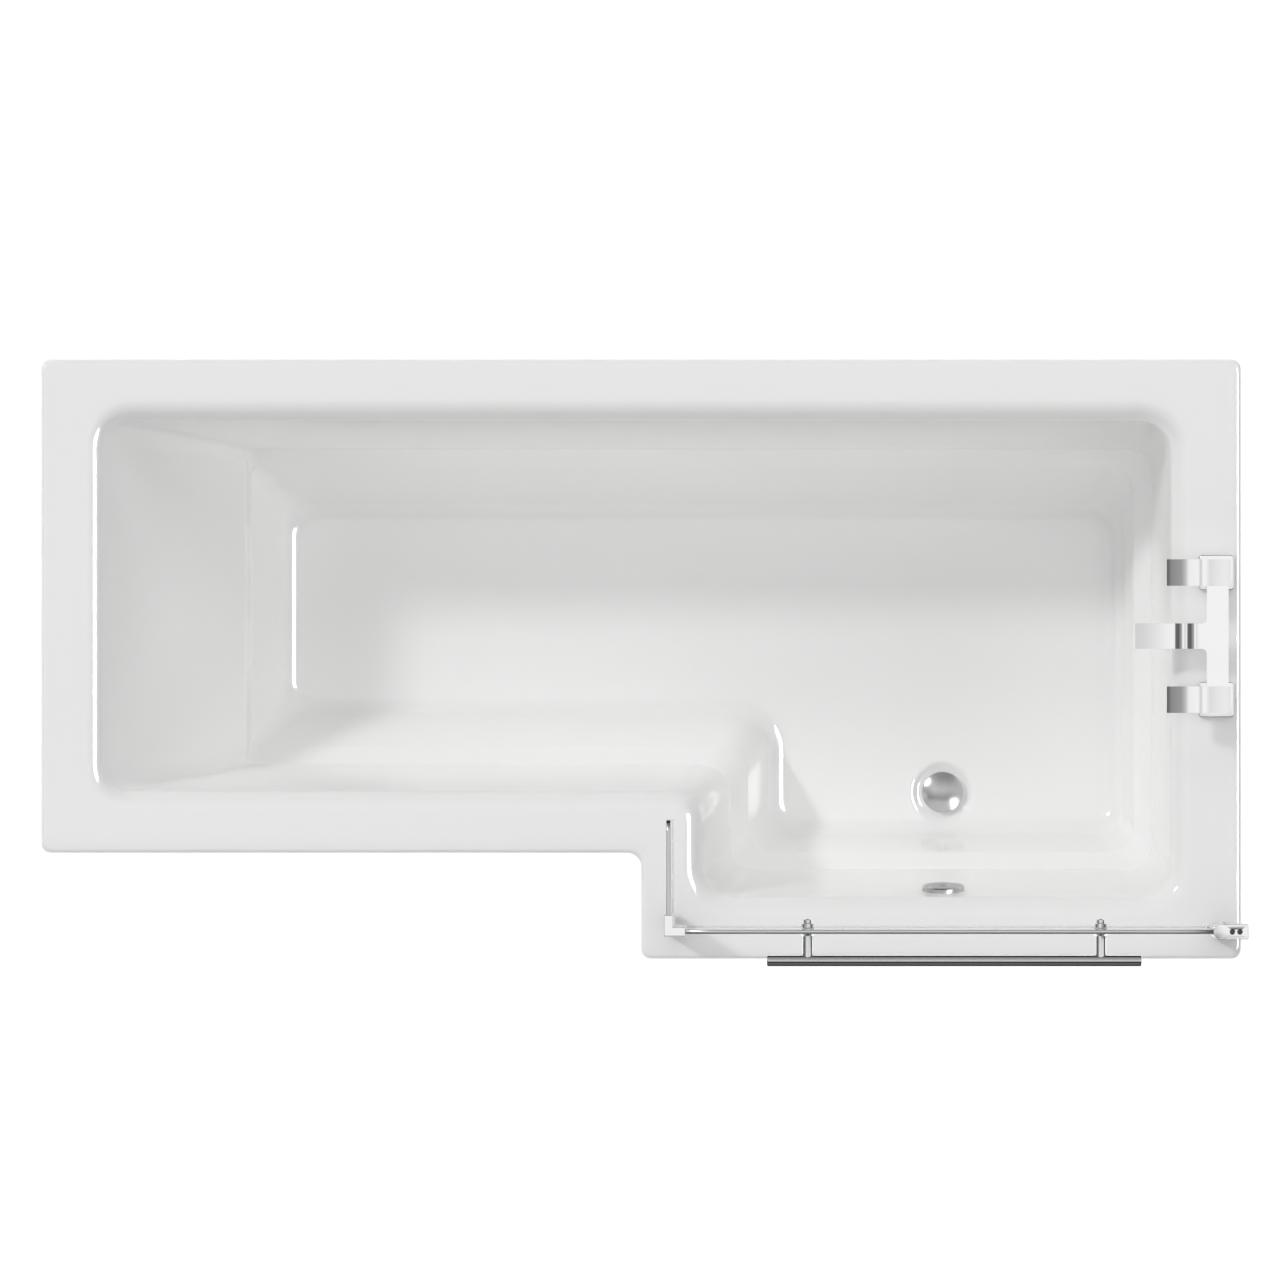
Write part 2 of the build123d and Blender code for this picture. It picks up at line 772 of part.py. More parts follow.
with BuildPart() as post_gasket:
    block(
        (pivot_x - pivot_radius + slot_gasket, glass_y - slot_width / 2, glass_bottom),
        (pivot_x - slot_floor, glass_y + slot_width / 2, post_top),
    )
    block(
        (pivot_x - pivot_radius, glass_y - glass / 2, glass_bottom),
        (glass_end, glass_y + glass / 2, post_top),
        mode=Mode.SUBTRACT,
    )

with BuildPart() as main_glass:
    block((return_x + corner_wall_gap, glass_outside, glass_bottom), (glass_end, glass_inside, post_top))
    for x in post_xs:
        rod((x, glass_inside, rail_z), OUTWARD, knob_neck_radius, glass, mode=Mode.SUBTRACT)

# Corner post joining the return panel
corner_top = post_top


def corner_plan(height, grip):
    """L-shaped plan of the corner post, with or without its two glass slots"""
    with BuildSketch(Plane.XY.offset(height)) as plan:
        with BuildLine():
            Polyline(
                (corner_x, corner_y), (corner_x + corner_leg, corner_y),
                (corner_x + corner_leg, corner_y + corner_width),
                (corner_x + corner_width, corner_y + corner_width),
                (corner_x + corner_width, corner_y + corner_leg), (corner_x, corner_y + corner_leg),
                close=True,
            )
        make_face()
        if grip:
            with Locations((return_x + corner_wall_gap + corner_leg / 2, glass_y)):
                Rectangle(corner_leg, glass, mode=Mode.SUBTRACT)
            with Locations((return_x, glass_y + corner_wall_gap + corner_leg / 2)):
                Rectangle(glass, corner_leg, mode=Mode.SUBTRACT)
    return plan.sketch


with BuildPart() as corner_post:
    extrude(corner_plan(glass_bottom, True), amount=corner_top - glass_bottom)

with BuildPart() as corner_caps:
    extrude(corner_plan(corner_top, False), amount=corner_cap)
    extrude(corner_plan(glass_bottom - corner_cap, False), amount=corner_cap)

with BuildPart() as return_glass:
    return_end = glass_y + return_length
    block(
        (return_x - glass / 2, glass_y + corner_wall_gap, glass_bottom),
        (return_x + glass / 2, return_end, corner_top),
    )
    fillet(return_glass.edges().filter_by(Axis.X).group_by(Axis.Y)[-1].sort_by(Axis.Z)[-1], glass_corner)


def seal_section(plane):
    """Section of a bottom seal about the plane's upright axis: two lips, a web and a hanging fin"""
    half, lip_top = glass / 2 + seal_wall, glass_bottom + seal_grip
    web_bottom, fin_bottom = glass_bottom - seal_web, rim_height + seal_rim_gap
    with BuildSketch(plane) as section:
        with BuildLine():
            right_side = (
                (glass / 2, glass_bottom), (glass / 2, lip_top), (half, lip_top), (half, web_bottom),
                (fin_width / 2, web_bottom), (fin_width / 2, fin_bottom),
            )
            Polyline(*right_side, *((-across, up) for across, up in reversed(right_side)), close=True)
        make_face()
    return section.sketch


main_seal_start = corner_x + corner_leg
with BuildPart() as main_seal:
    section_plane = Plane(origin=(main_seal_start, glass_y, 0), x_dir=(0, 1, 0), z_dir=TO_WALL)
    extrude(seal_section(section_plane), amount=pivot_x - pivot_radius - seal_rim_gap - main_seal_start)

return_seal_start = corner_y + corner_leg
with BuildPart() as return_seal:
    section_plane = Plane(origin=(return_x, return_seal_start, 0), x_dir=(-1, 0, 0), z_dir=(0, 1, 0))
    extrude(seal_section(section_plane), amount=return_end - return_seal_start)

# Towel rail through the glass
post_length = rail_reach - glass / 2
with BuildPart() as rail_bar:
    rod((rail_x - rail_length / 2, rail_y, rail_z), TO_WALL, rail_diameter / 2, rail_length)
    fillet(rail_bar.edges(), rail_end_round)

with BuildPart() as rail_posts:
    for x in post_xs:
        turned(
            (x, glass_outside, rail_z), OUTWARD, (rail_washer, 0), (rail_washer, post_flange_radius),
            (rail_washer + post_flange_edge, post_flange_radius), (rail_washer + post_flange, post_radius),
            (post_length, post_radius),
            (post_length, 0),
        )
    rod(
        (rail_x - rail_length / 2, rail_y, rail_z), TO_WALL, rail_diameter / 2, rail_length,
        mode=Mode.SUBTRACT,
    )
    for x in post_xs:
        rod(
            (x, glass_outside - rail_washer, rail_z), OUTWARD, rail_stud_radius, rail_stud_depth,
            mode=Mode.SUBTRACT,
        )

with BuildPart() as rail_washers:
    for x in post_xs:
        ring((x, glass_outside, rail_z), OUTWARD, rail_washer_radius, rail_stud_radius, rail_washer)
        ring((x, glass_inside, rail_z), (0, 1, 0), rail_washer_radius, rail_stud_radius, rail_washer)
        ring((x, glass_inside, rail_z), OUTWARD, knob_neck_radius, rail_stud_radius, glass)

with BuildPart() as rail_knobs:
    knob_end = rail_washer + knob_height
    stud_end = -glass - rail_washer - rail_stud_depth
    for x in post_xs:
        turned(
            (x, glass_inside, rail_z), (0, 1, 0), (stud_end, 0), (stud_end, rail_stud_radius),
            (rail_washer, rail_stud_radius), (rail_washer, knob_radius),
            (rail_washer + knob_collar, knob_radius),
            (rail_washer + knob_collar + knob_edge, knob_neck_radius),
            (knob_end - knob_edge, knob_neck_radius), (knob_end, knob_neck_radius - knob_edge), (knob_end, 0),
        )

# Deck filler: two pillars joined by a flat bridge, with a stepped spout over the basin
with BuildPart() as tap_base_plates:
    for y in tap_ys:
        with BuildSketch(Plane.XY.offset(plate_bottom)) as plate:
            with Locations((tap_x, y)):
                RectangleRounded(base_plate, base_plate, base_plate_corner)
                Circle(tail_radius, mode=Mode.SUBTRACT)
        extrude(plate.sketch, amount=base_plate_height)
    fillet(tap_base_plates.faces().group_by(Axis.Z)[-1].edges().filter_by(GeomType.LINE), base_plate_round)

bridge_x = tap_x + bridge_offset
bridge_edge = bridge_x - bridge_width / 2
spout_z = bridge_top - spout_thickness / 2
spout_tip = tap_x - spout_reach
outlet_x = spout_tip + outlet_back
outlet_z = spout_z - 2 * spout_drop - spout_fall
spout_steps = (
    (bridge_x, spout_z),
    (tap_x - spout_shoulder, spout_z),
    (tap_x - spout_shoulder - spout_riser, spout_z - spout_drop),
    (tap_x - spout_shoulder - spout_riser - spout_tread, spout_z - spout_drop),
    (tap_x - spout_shoulder - 2 * spout_riser - spout_tread, spout_z - 2 * spout_drop),
    (spout_tip, spout_z - 2 * spout_drop - spout_fall),
)


def spout_strip(thickness, width):
    """Stepped strip of the spout, from the bridge to its tip"""
    with BuildSketch(Plane.XZ.offset(-tap_y - width / 2)) as strip:
        with BuildLine():
            FilletPolyline(*spout_steps, radius=spout_thickness)
        trace(line_width=thickness)
    return extrude(strip.sketch, amount=width, mode=Mode.PRIVATE)


with BuildPart() as tap_body:
    block(
        (bridge_x - bridge_width / 2, tap_ys[1], bridge_bottom),
        (bridge_x + bridge_width / 2, tap_ys[0], bridge_top),
    )
    block(
        (bridge_edge, tap_y - spout_width / 2, bridge_top - spout_thickness),
        (bridge_x, tap_y + spout_width / 2, bridge_top),
    )
    add(spout_strip(spout_thickness, spout_width))
    inner_corners = tap_body.edges().filter_by(Axis.Z).sort_by_distance((bridge_edge, tap_y, spout_z))[:2]
    fillet(inner_corners, tap_fillet)
    for y in tap_ys:
        rod((tap_x, y, plate_top), UP, pillar_radius, bridge_top - plate_top)
        rod((tap_x, y, bridge_top), DOWN, cartridge_radius, cartridge_height, mode=Mode.SUBTRACT)
        rod((tap_x, y, plate_top), UP, tail_bore, bridge_top - plate_top, mode=Mode.SUBTRACT)
        rod((tap_x, y, plate_top), UP, tail_radius, tail_grip, mode=Mode.SUBTRACT)
    add(spout_strip(spout_waterway, spout_width - spout_thickness), mode=Mode.SUBTRACT)
    rod((tap_x, tap_ys[1], spout_z), (0, 1, 0), spout_waterway, tap_centres, mode=Mode.SUBTRACT)
    rod((outlet_x, tap_y, outlet_z), DOWN, aerator_radius, spout_thickness, mode=Mode.SUBTRACT)

with BuildPart() as aerator:
    ring((outlet_x, tap_y, outlet_z), DOWN, aerator_radius, aerator_radius - aerator_wall, aerator_height)
    for n in range(3):
        with Locations((outlet_x, tap_y, outlet_z - aerator_height + aerator_bar / 2)):
            Box(2 * (aerator_radius - aerator_wall / 2), aerator_bar, aerator_bar, rotation=(0, 0, 60 * n))

with BuildPart() as tap_tails:
    for y in tap_ys:
        ring(
            (tap_x, y, rim_height - tail_length), UP, tail_radius, tail_bore,
            tail_length + plate_top - rim_height + tail_grip,
        )
        with Locations((tap_x, y, backnut_bottom - tail_undercut / 2)):
            Cylinder(tail_radius, tail_undercut, mode=Mode.SUBTRACT)
            Cylinder(tail_radius - tail_undercut / 2, tail_undercut)
            Cylinder(tail_bore, tail_undercut, mode=Mode.SUBTRACT)

with BuildPart() as tap_washers:
    for y in tap_ys:
        ring((tap_x, y, rim_height), UP, deck_washer_radius, tail_radius, deck_gasket)
        ring((tap_x, y, rim_height - shell), DOWN, deck_washer_radius, tail_radius, deck_washer)

with BuildPart() as tap_backnuts:
    for y in tap_ys:
        hexagon(
            (tap_x, y, backnut_bottom), backnut_across_flats, tail_radius, backnut_height,
        )

with BuildPart() as valve_cartridges:
    for y in tap_ys:
        turned(
            (tap_x, y, bridge_top), DOWN, (0, spindle_radius + spindle_gap), (0, cartridge_radius),
            (cartridge_height, cartridge_radius), (cartridge_height, 0), (spindle_depth + running_gap, 0),
            (spindle_depth + running_gap, spindle_radius + spindle_gap),
        )

# Levers: arched straps on turning collars, each pinned to its spindle
collar_bottom = bridge_top + running_gap
lever_under = collar_bottom + collar_height
grub_z = collar_bottom + spindle_grip / 2


def lever_at(y):
    """Arched lever with its collar, bored for the spindle and tapped for the set screw"""
    crown_z = lever_under + lever_thickness / 2
    tip_z, heel_z = crown_z - lever_crown, crown_z - lever_heel
    with BuildSketch(Plane.XZ.offset(-y - lever_width / 2)) as strap:
        with BuildLine():
            ThreePointArc(
                (tap_x - lever_tip, tip_z), (tap_x - lever_tip / 3, crown_z + lever_rise),
                (tap_x + lever_back, heel_z)
            )
        trace(line_width=lever_thickness)
    extrude(strap.sketch, amount=lever_width)
    rod((tap_x, y, collar_bottom), UP, collar_radius, collar_height)
    rod((tap_x, y, collar_bottom), UP, spindle_radius, spindle_grip, mode=Mode.SUBTRACT)
    rod((tap_x, y, grub_z), TO_WALL, grub_radius, collar_radius, mode=Mode.SUBTRACT)


def spindle_at(y):
    """Turning spindle from the cartridge up into the lever's collar"""
    rod(
        (tap_x, y, bridge_top - spindle_depth), UP, spindle_radius,
        spindle_depth + running_gap + spindle_grip,
    )


def grub_at(y):
    """Set screw through the collar's back against the spindle"""
    rod((tap_x + spindle_radius, y, grub_z), TO_WALL, grub_radius, collar_radius - spindle_radius - grub_sunk)


with BuildPart() as lever_rear:
    lever_at(tap_ys[0])

with BuildPart() as lever_front:
    lever_at(tap_ys[1])

with BuildPart() as spindle_rear:
    spindle_at(tap_ys[0])

with BuildPart() as spindle_front:
    spindle_at(tap_ys[1])

with BuildPart() as set_screw_rear:
    grub_at(tap_ys[0])

with BuildPart() as set_screw_front:
    grub_at(tap_ys[1])

# Waste: flange clamped through the floor to a body below, with a rising plug
with BuildPart() as waste_seals:
    ring((waste_x, waste_y, seat_level), UP, waste_flange_radius - 1, waste_hole_radius, gasket)
    ring((waste_x, waste_y, seat_under), DOWN, waste_body_radius, waste_tube_radius, body_seal)

flange_bottom = seat_level + gasket
tube_bottom = body_top - waste_thread
with BuildPart() as waste_flange:
    turned(
        (waste_x, waste_y, flange_bottom), UP, (0, waste_tube_radius), (0, waste_flange_radius),
        (waste_flange_height / 2, waste_flange_radius), (waste_flange_height, waste_flange_radius - 2),
        (waste_flange_height, waste_bore_radius), (tube_bottom - flange_bottom, waste_bore_radius),
        (tube_bottom - flange_bottom, waste_tube_radius),
    )
    with Locations((waste_x, waste_y, tube_bottom + spider_height / 2)):
        Box(2 * waste_bore_radius + 1, spider_width, spider_height)
        Box(spider_width, 2 * waste_bore_radius + 1, spider_height)
        Cylinder(hub_radius, spider_height)
        Cylinder(sleeve_radius, spider_height, mode=Mode.SUBTRACT)

with BuildPart() as plug_sleeve:
    sleeve_bottom = tube_bottom - spider_height / 2
    sleeve_top = tube_bottom + spider_height + plug_seal_height
    turned(
        (waste_x, waste_y, sleeve_bottom), UP, (0, 0), (0, sleeve_radius),
        (sleeve_top - sleeve_bottom, sleeve_radius),
        (sleeve_top - sleeve_bottom, plug_stem_radius + spindle_gap),
        (spider_width, plug_stem_radius + spindle_gap), (spider_width, 0),
    )

plug_bottom = flange_bottom + waste_flange_height + running_gap
dome_under = plug_bottom + plug_seal_height
dome_rise = plug_height - plug_lip / 2
dome_radius = (plug_radius ** 2 + dome_rise ** 2) / (2 * dome_rise)
with BuildPart() as plug_dome:
    with BuildSketch(Plane(origin=(waste_x, waste_y, dome_under), x_dir=(1, 0, 0), z_dir=OUTWARD)) as dome:
        with BuildLine():
            Polyline(
                (0, plug_height), (0, 0), (plug_radius - plug_lip, 0),
                (plug_radius - plug_lip, -plug_seal_height / 2),
                (plug_radius, -plug_seal_height / 2), (plug_radius, plug_lip / 2),
            )
            RadiusArc((plug_radius, plug_lip / 2), (0, plug_height), -dome_radius)
        make_face()
    revolve(dome.sketch, axis=Axis((waste_x, waste_y, 0), UP))

with BuildPart() as plug_seal:
    ring(
        (waste_x, waste_y, plug_bottom), UP, plug_radius - plug_lip, waste_bore_radius - plug_lip,
        plug_seal_height,
    )

with BuildPart() as plug_stem:
    stem_bottom = sleeve_bottom + spider_width + running_gap
    rod((waste_x, waste_y, stem_bottom), UP, plug_stem_radius, dome_under - stem_bottom)

# Waste body with its side inlet, then the trap and its outlet socket
body_spigot_bottom = body_bottom - waste_spigot_length
inlet_length = waste_body_radius + spigot_length
with BuildPart() as waste_body:
    rod((waste_x, waste_y, body_top), DOWN, waste_body_radius, waste_body_height)
    rod((waste_x, waste_y, body_bottom), DOWN, waste_spigot_radius, waste_spigot_length)
    rod((waste_x, waste_y, hose_level), OUTWARD, hose_bore_radius, inlet_length)
    rod((waste_x, waste_y, body_top), DOWN, waste_tube_radius, waste_thread, mode=Mode.SUBTRACT)
    rod(
        (waste_x, waste_y, tube_bottom), DOWN, waste_body_radius - waste_body_wall,
        tube_bottom - body_bottom - waste_body_wall, mode=Mode.SUBTRACT,
    )
    rod(
        (waste_x, waste_y, body_top), DOWN, waste_spigot_radius - waste_body_wall, body_top,
        mode=Mode.SUBTRACT,
    )
    rod(
        (waste_x, waste_y, hose_level), OUTWARD, hose_bore_radius - hose_wall, inlet_length,
        mode=Mode.SUBTRACT,
    )

trap_low = trap_clear + pipe_radius
outlet_z_low = trap_low + outlet_rise
bend_x = waste_x + trap_reach
socket_x = bend_x + outlet_length


def pipe_run(radius):
    """Solid along the trap's dip and out towards its socket"""
    with BuildPart(mode=Mode.PRIVATE) as run:
        with BuildLine() as route:
            FilletPolyline(
                (waste_x, waste_y, body_spigot_bottom), (waste_x, waste_y, trap_low),
                (bend_x, waste_y, trap_low),
                (bend_x, waste_y, outlet_z_low), (socket_x, waste_y, outlet_z_low), radius=trap_bend,
            )
        with BuildSketch(Plane.XY.offset(body_spigot_bottom)) as bore:
            with Locations((waste_x, waste_y)):
                Circle(radius)
        sweep(bore.sketch, path=route.line)
    return run.part


with BuildPart() as trap:
    add(pipe_run(pipe_radius))
    rod(
        (socket_x - socket_wall, waste_y, outlet_z_low), TO_WALL, socket_radius + socket_wall,
        socket_depth + socket_wall,
    )
    add(pipe_run(pipe_radius - pipe_wall), mode=Mode.SUBTRACT)
    rod((socket_x, waste_y, outlet_z_low), TO_WALL, socket_radius, socket_depth, mode=Mode.SUBTRACT)

with BuildPart() as trap_nuts:
    ring((waste_x, waste_y, body_spigot_bottom), UP, trap_nut_radius, waste_spigot_radius, trap_nut_height)
    ring(
        (socket_x + socket_depth - outlet_nut_length, waste_y, outlet_z_low), TO_WALL, outlet_nut_radius,
        socket_radius + socket_wall, outlet_nut_length,
    )

# Overflow: chrome plate inside, elbow behind the wall, hose down to the waste body
elbow_face = -overflow_wall - overflow_seal_height
elbow_middle = overflow_point(elbow_face - overflow_cup_depth / 2)
cup_radius = overflow_seal_radius - 1
cup_wall = waste_body_wall
backward = (0, -lean_cos, -lean_sin)
with BuildPart() as overflow_seal:
    ring(
        overflow_point(-overflow_wall), backward, overflow_seal_radius, overflow_hole_radius,
        overflow_seal_height,
    )

with BuildPart() as overflow_elbow:
    rod(overflow_point(elbow_face), backward, cup_radius, overflow_cup_depth)
    ring(overflow_point(-1), backward, overflow_hole_radius, overflow_hole_radius - cup_wall, -elbow_face)
    rod(
        overflow_point(elbow_face), backward, overflow_hole_radius - cup_wall,
        overflow_cup_depth - cup_wall,
        mode=Mode.SUBTRACT,
    )
    rod(
        overflow_point(elbow_face - overflow_cup_depth + 1), inward, 2 * overflow_screw_radius,
        overflow_cup_depth,
    )
    rod(elbow_middle, DOWN, hose_bore_radius, cup_radius + spigot_length)
    rod(elbow_middle, DOWN, hose_bore_radius - hose_wall, cup_radius + spigot_length, mode=Mode.SUBTRACT)
    rod(overflow_point(0), backward, overflow_screw_radius, overflow_screw_reach, mode=Mode.SUBTRACT)

plate_skin = gasket
with BuildPart() as overflow_plate:
    turned(
        overflow_point(0), inward, (0, overflow_plate_radius - plate_skin), (0, overflow_plate_radius),
        (overflow_plate_height - plate_skin, overflow_plate_radius),
        (overflow_plate_height, overflow_plate_radius - plate_skin),
        (overflow_plate_height, overflow_screw_radius),
        (overflow_plate_height - plate_skin, overflow_screw_radius),
        (overflow_plate_height - plate_skin, overflow_plate_radius - plate_skin),
    )
    with BuildSketch(Plane(origin=overflow_point(0), x_dir=(1, 0, 0), z_dir=inward)) as mouth:
        with Locations((0, overflow_plate_radius)):
            Rectangle(overflow_plate_radius, 4 * plate_skin)
    extrude(mouth.sketch, amount=overflow_plate_height - 2 * plate_skin, mode=Mode.SUBTRACT)

with BuildPart() as overflow_screw:
    turned(
        overflow_point(overflow_plate_height), backward, (-plate_skin, 0),
        (-plate_skin, overflow_screw_radius),
        (0, 2 * overflow_screw_radius), (0, overflow_screw_radius),
        (overflow_plate_height + overflow_screw_reach, overflow_screw_radius),
        (overflow_plate_height + overflow_screw_reach, 0),
    )

hose_top = elbow_middle[2] - cup_radius - 2
hose_end = waste_y - waste_body_radius - 1


def hose_run(radius):
    """Solid along the overflow hose, down behind the wall and in under the floor"""
    with BuildPart(mode=Mode.PRIVATE) as run:
        with BuildLine() as route:
            FilletPolyline(
                (waste_x, elbow_middle[1], hose_top), (waste_x, elbow_middle[1], hose_level),
                (waste_x, hose_end, hose_level), radius=hose_bend,
            )
        with BuildSketch(Plane.XY.offset(hose_top)) as bore:
            with Locations((waste_x, elbow_middle[1])):
                Circle(radius)
        sweep(bore.sketch, path=route.line)
    return run.part


with BuildPart() as overflow_hose:
    add(hose_run(hose_bore_radius + hose_wall))
    add(hose_run(hose_bore_radius), mode=Mode.SUBTRACT)

for piece, name in (
    (bath_shell, "bath_shell"),
    (base_board, "base_board"),
    (rim_battens, "rim_battens"),
    (leg_bars, "leg_bars"),
    (leg_studs, "leg_studs"),
    (leg_nuts, "leg_nuts"),
    (foot_pads, "foot_pads"),
    (board_screws, "board_screws"),
    (front_panel, "front_panel"),
    (floor_battens, "floor_battens"),
    (panel_screws, "panel_screws"),
    (panel_screw_caps, "panel_screw_caps"),
    (panel_clips, "panel_clips"),
    (wall_profile, "wall_profile"),
    (slide_profile, "slide_profile"),
    (top_cap, "top_cap"),
    (foot_cap, "foot_cap"),
    (cap_screws, "cap_screws"),
    (hinge_pins, "hinge_pins"),
    (pivot_post, "pivot_post"),
    (pivot_bushes, "pivot_bushes"),
    (post_gasket, "post_gasket"),
    (main_glass, "main_glass"),
    (corner_post, "corner_post"),
    (corner_caps, "corner_caps"),
    (return_glass, "return_glass"),
    (main_seal, "main_seal"),
    (return_seal, "return_seal"),
    (rail_bar, "rail_bar"),
    (rail_posts, "rail_posts"),
    (rail_washers, "rail_washers"),
    (rail_knobs, "rail_knobs"),
    (tap_base_plates, "tap_base_plates"),
    (tap_body, "tap_body"),
    (aerator, "aerator"),
    (tap_tails, "tap_tails"),
    (tap_washers, "tap_washers"),
    (tap_backnuts, "tap_backnuts"),
    (valve_cartridges, "valve_cartridges"),
    (lever_rear, "lever_rear"),
    (lever_front, "lever_front"),
    (spindle_rear, "spindle_rear"),
    (spindle_front, "spindle_front"),
    (set_screw_rear, "set_screw_rear"),
    (set_screw_front, "set_screw_front"),
    (waste_seals, "waste_seals"),
    (waste_flange, "waste_flange"),
    (plug_sleeve, "plug_sleeve"),
    (plug_dome, "plug_dome"),
    (plug_seal, "plug_seal"),
    (plug_stem, "plug_stem"),
    (waste_body, "waste_body"),
    (trap, "trap"),
    (trap_nuts, "trap_nuts"),
    (overflow_seal, "overflow_seal"),
    (overflow_elbow, "overflow_elbow"),
    (overflow_plate, "overflow_plate"),
    (overflow_screw, "overflow_screw"),
    (overflow_hose, "overflow_hose"),
):
    piece.part.label = name
    export_step(piece.part, f"parts/{name}.step")
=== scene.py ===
"""L-shaped shower bath: acrylic bath on a leg cradle, glass screen, deck filler, waste and overflow."""
import math

import bmesh
import bpy
import numpy as np
from mathutils import Matrix, Vector
from mathutils.geometry import delaunay_2d_cdt


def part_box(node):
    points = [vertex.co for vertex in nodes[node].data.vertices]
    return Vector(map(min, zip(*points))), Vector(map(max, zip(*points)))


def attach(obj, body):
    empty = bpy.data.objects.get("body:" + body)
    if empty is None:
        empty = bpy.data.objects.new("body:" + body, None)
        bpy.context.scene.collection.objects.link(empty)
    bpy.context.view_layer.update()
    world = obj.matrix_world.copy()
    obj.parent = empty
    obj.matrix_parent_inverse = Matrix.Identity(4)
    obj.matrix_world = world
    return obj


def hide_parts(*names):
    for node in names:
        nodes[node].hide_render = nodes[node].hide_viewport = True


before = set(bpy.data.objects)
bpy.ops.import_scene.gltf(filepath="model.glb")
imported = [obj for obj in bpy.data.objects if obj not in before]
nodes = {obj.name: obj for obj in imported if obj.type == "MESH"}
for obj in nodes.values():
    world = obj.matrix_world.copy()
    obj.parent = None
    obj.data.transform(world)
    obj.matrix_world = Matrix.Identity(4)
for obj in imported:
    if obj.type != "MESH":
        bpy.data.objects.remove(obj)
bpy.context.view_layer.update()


# Bath skin: one sheet of white sanitary acrylic drawn down by vacuum into an L-shaped basin, with a
# turned-down lip, a flat rim that rolls over into leaning walls, and a recess for the waste. Resin with
# chopped glass fibre is sprayed on its back.
shell_low, shell_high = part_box("bath_shell")
rim_z = shell_high.z
shell = 0.005
lip_depth = 0.038
lip_roll = 0.006
rim_roll = 0.030
crease_depth = 0.260
band_height = 0.040
basin_depth = 0.400
upper_crease_round = 0.016
lower_crease_round = 0.014
floor_fillet = 0.030
narrow_width = 0.700
wide_length = 0.850
narrow_front = shell_high.y - narrow_width
step = shell_high.x - wide_length

# Sides in the order rear, tap end, wide front, step, narrow front, head, as insets from the outline
ledge = np.array((0.084, 0.097, 0.084, 0.084, 0.084, 0.079))
upper_run = np.array((0.042, 0.028, 0.042, 0.042, 0.042, 0.209))
band_run = np.array((0.025, 0.025, 0.025, 0.025, 0.025, 0.007))
foot_run = np.array((0.060, 0.019, 0.030, 0.035, 0.054, 0.052))

# Corners in the order head-rear, rear-tap, tap-wide, wide-step, step-narrow, narrow-head
outer_radius = np.array((0.014, 0.014, 0.014, 0.014, 0.020, 0.014))
opening_radius = np.array((0.045, 0.045, 0.045, 0.045, 0.040, 0.045))
crease_radius = np.array((0.014, 0.036, 0.036, 0.036, 0.044, 0.014))
floor_radius = np.array((0.046, 0.046, 0.046, 0.046, 0.058, 0.046))
turn_sign = np.array((1.0, 1.0, 1.0, 1.0, -1.0, 1.0))


def rounded(points, radii, arc_steps, run_steps):
    """Stations along a corner-rounded profile: points is (corners, sides, 2), each inner corner is a
    tangent arc, point = centre + (sin((1 - s) a) start + sin(s a) end) / sin a, where a is the arc's
    angle, and the straight runs between the arcs are divided evenly"""
    stations = [points[0]]
    last = points[0]
    for corner, radius, arc, run in zip(range(1, len(points) - 1), radii, arc_steps, run_steps):
        here = points[corner]
        back = points[corner - 1] - here
        ahead = points[corner + 1] - here
        back = back / np.linalg.norm(back, axis=1, keepdims=True)
        ahead = ahead / np.linalg.norm(ahead, axis=1, keepdims=True)
        half = np.arccos(np.clip((back * ahead).sum(1), -1, 1)) / 2
        reach = (radius / np.tan(half))[:, None]
        middle = back + ahead
        middle = middle / np.linalg.norm(middle, axis=1, keepdims=True)
        centre = here + middle * (radius / np.sin(half))[:, None]
        start, end = here + back * reach, here + ahead * reach
        sweep = (math.pi - 2 * half)[:, None]
        for share in np.linspace(0, 1, run + 1)[1:-1]:
            stations.append(last + (start - last) * share)
        for share in np.linspace(0, 1, arc + 1):
            weights = np.sin((1 - share) * sweep) / np.sin(sweep), np.sin(share * sweep) / np.sin(sweep)
            stations.append(centre + weights[0] * (start - centre) + weights[1] * (end - centre))
        last = end
    for share in np.linspace(0, 1, run_steps[-1] + 1)[1:]:
        stations.append(last + (points[-1] - last) * share)
    return np.array(stations)


depths = np.array((0, crease_depth, crease_depth + band_height, basin_depth))
levels = np.stack((ledge, ledge + upper_run, ledge + upper_run + band_run,
                   ledge + upper_run + band_run + foot_run))
floor_start = levels[3] + floor_fillet
profile = np.stack((
    np.stack((np.zeros(6), np.full(6, lip_depth)), 1),
    np.stack((np.zeros(6), np.zeros(6)), 1),
    *(np.stack((level, np.full(6, depth)), 1) for level, depth in zip(levels, depths)),
    np.stack((floor_start, np.full(6, basin_depth)), 1),
))
stations = rounded(
    profile,
    radii=(lip_roll, rim_roll, upper_crease_round, lower_crease_round, floor_fillet),
    arc_steps=(5, 14, 6, 6, 12),
    run_steps=(3, 3, 10, 2, 5, 1),
)
inset, depth = stations[..., 0], stations[..., 1]


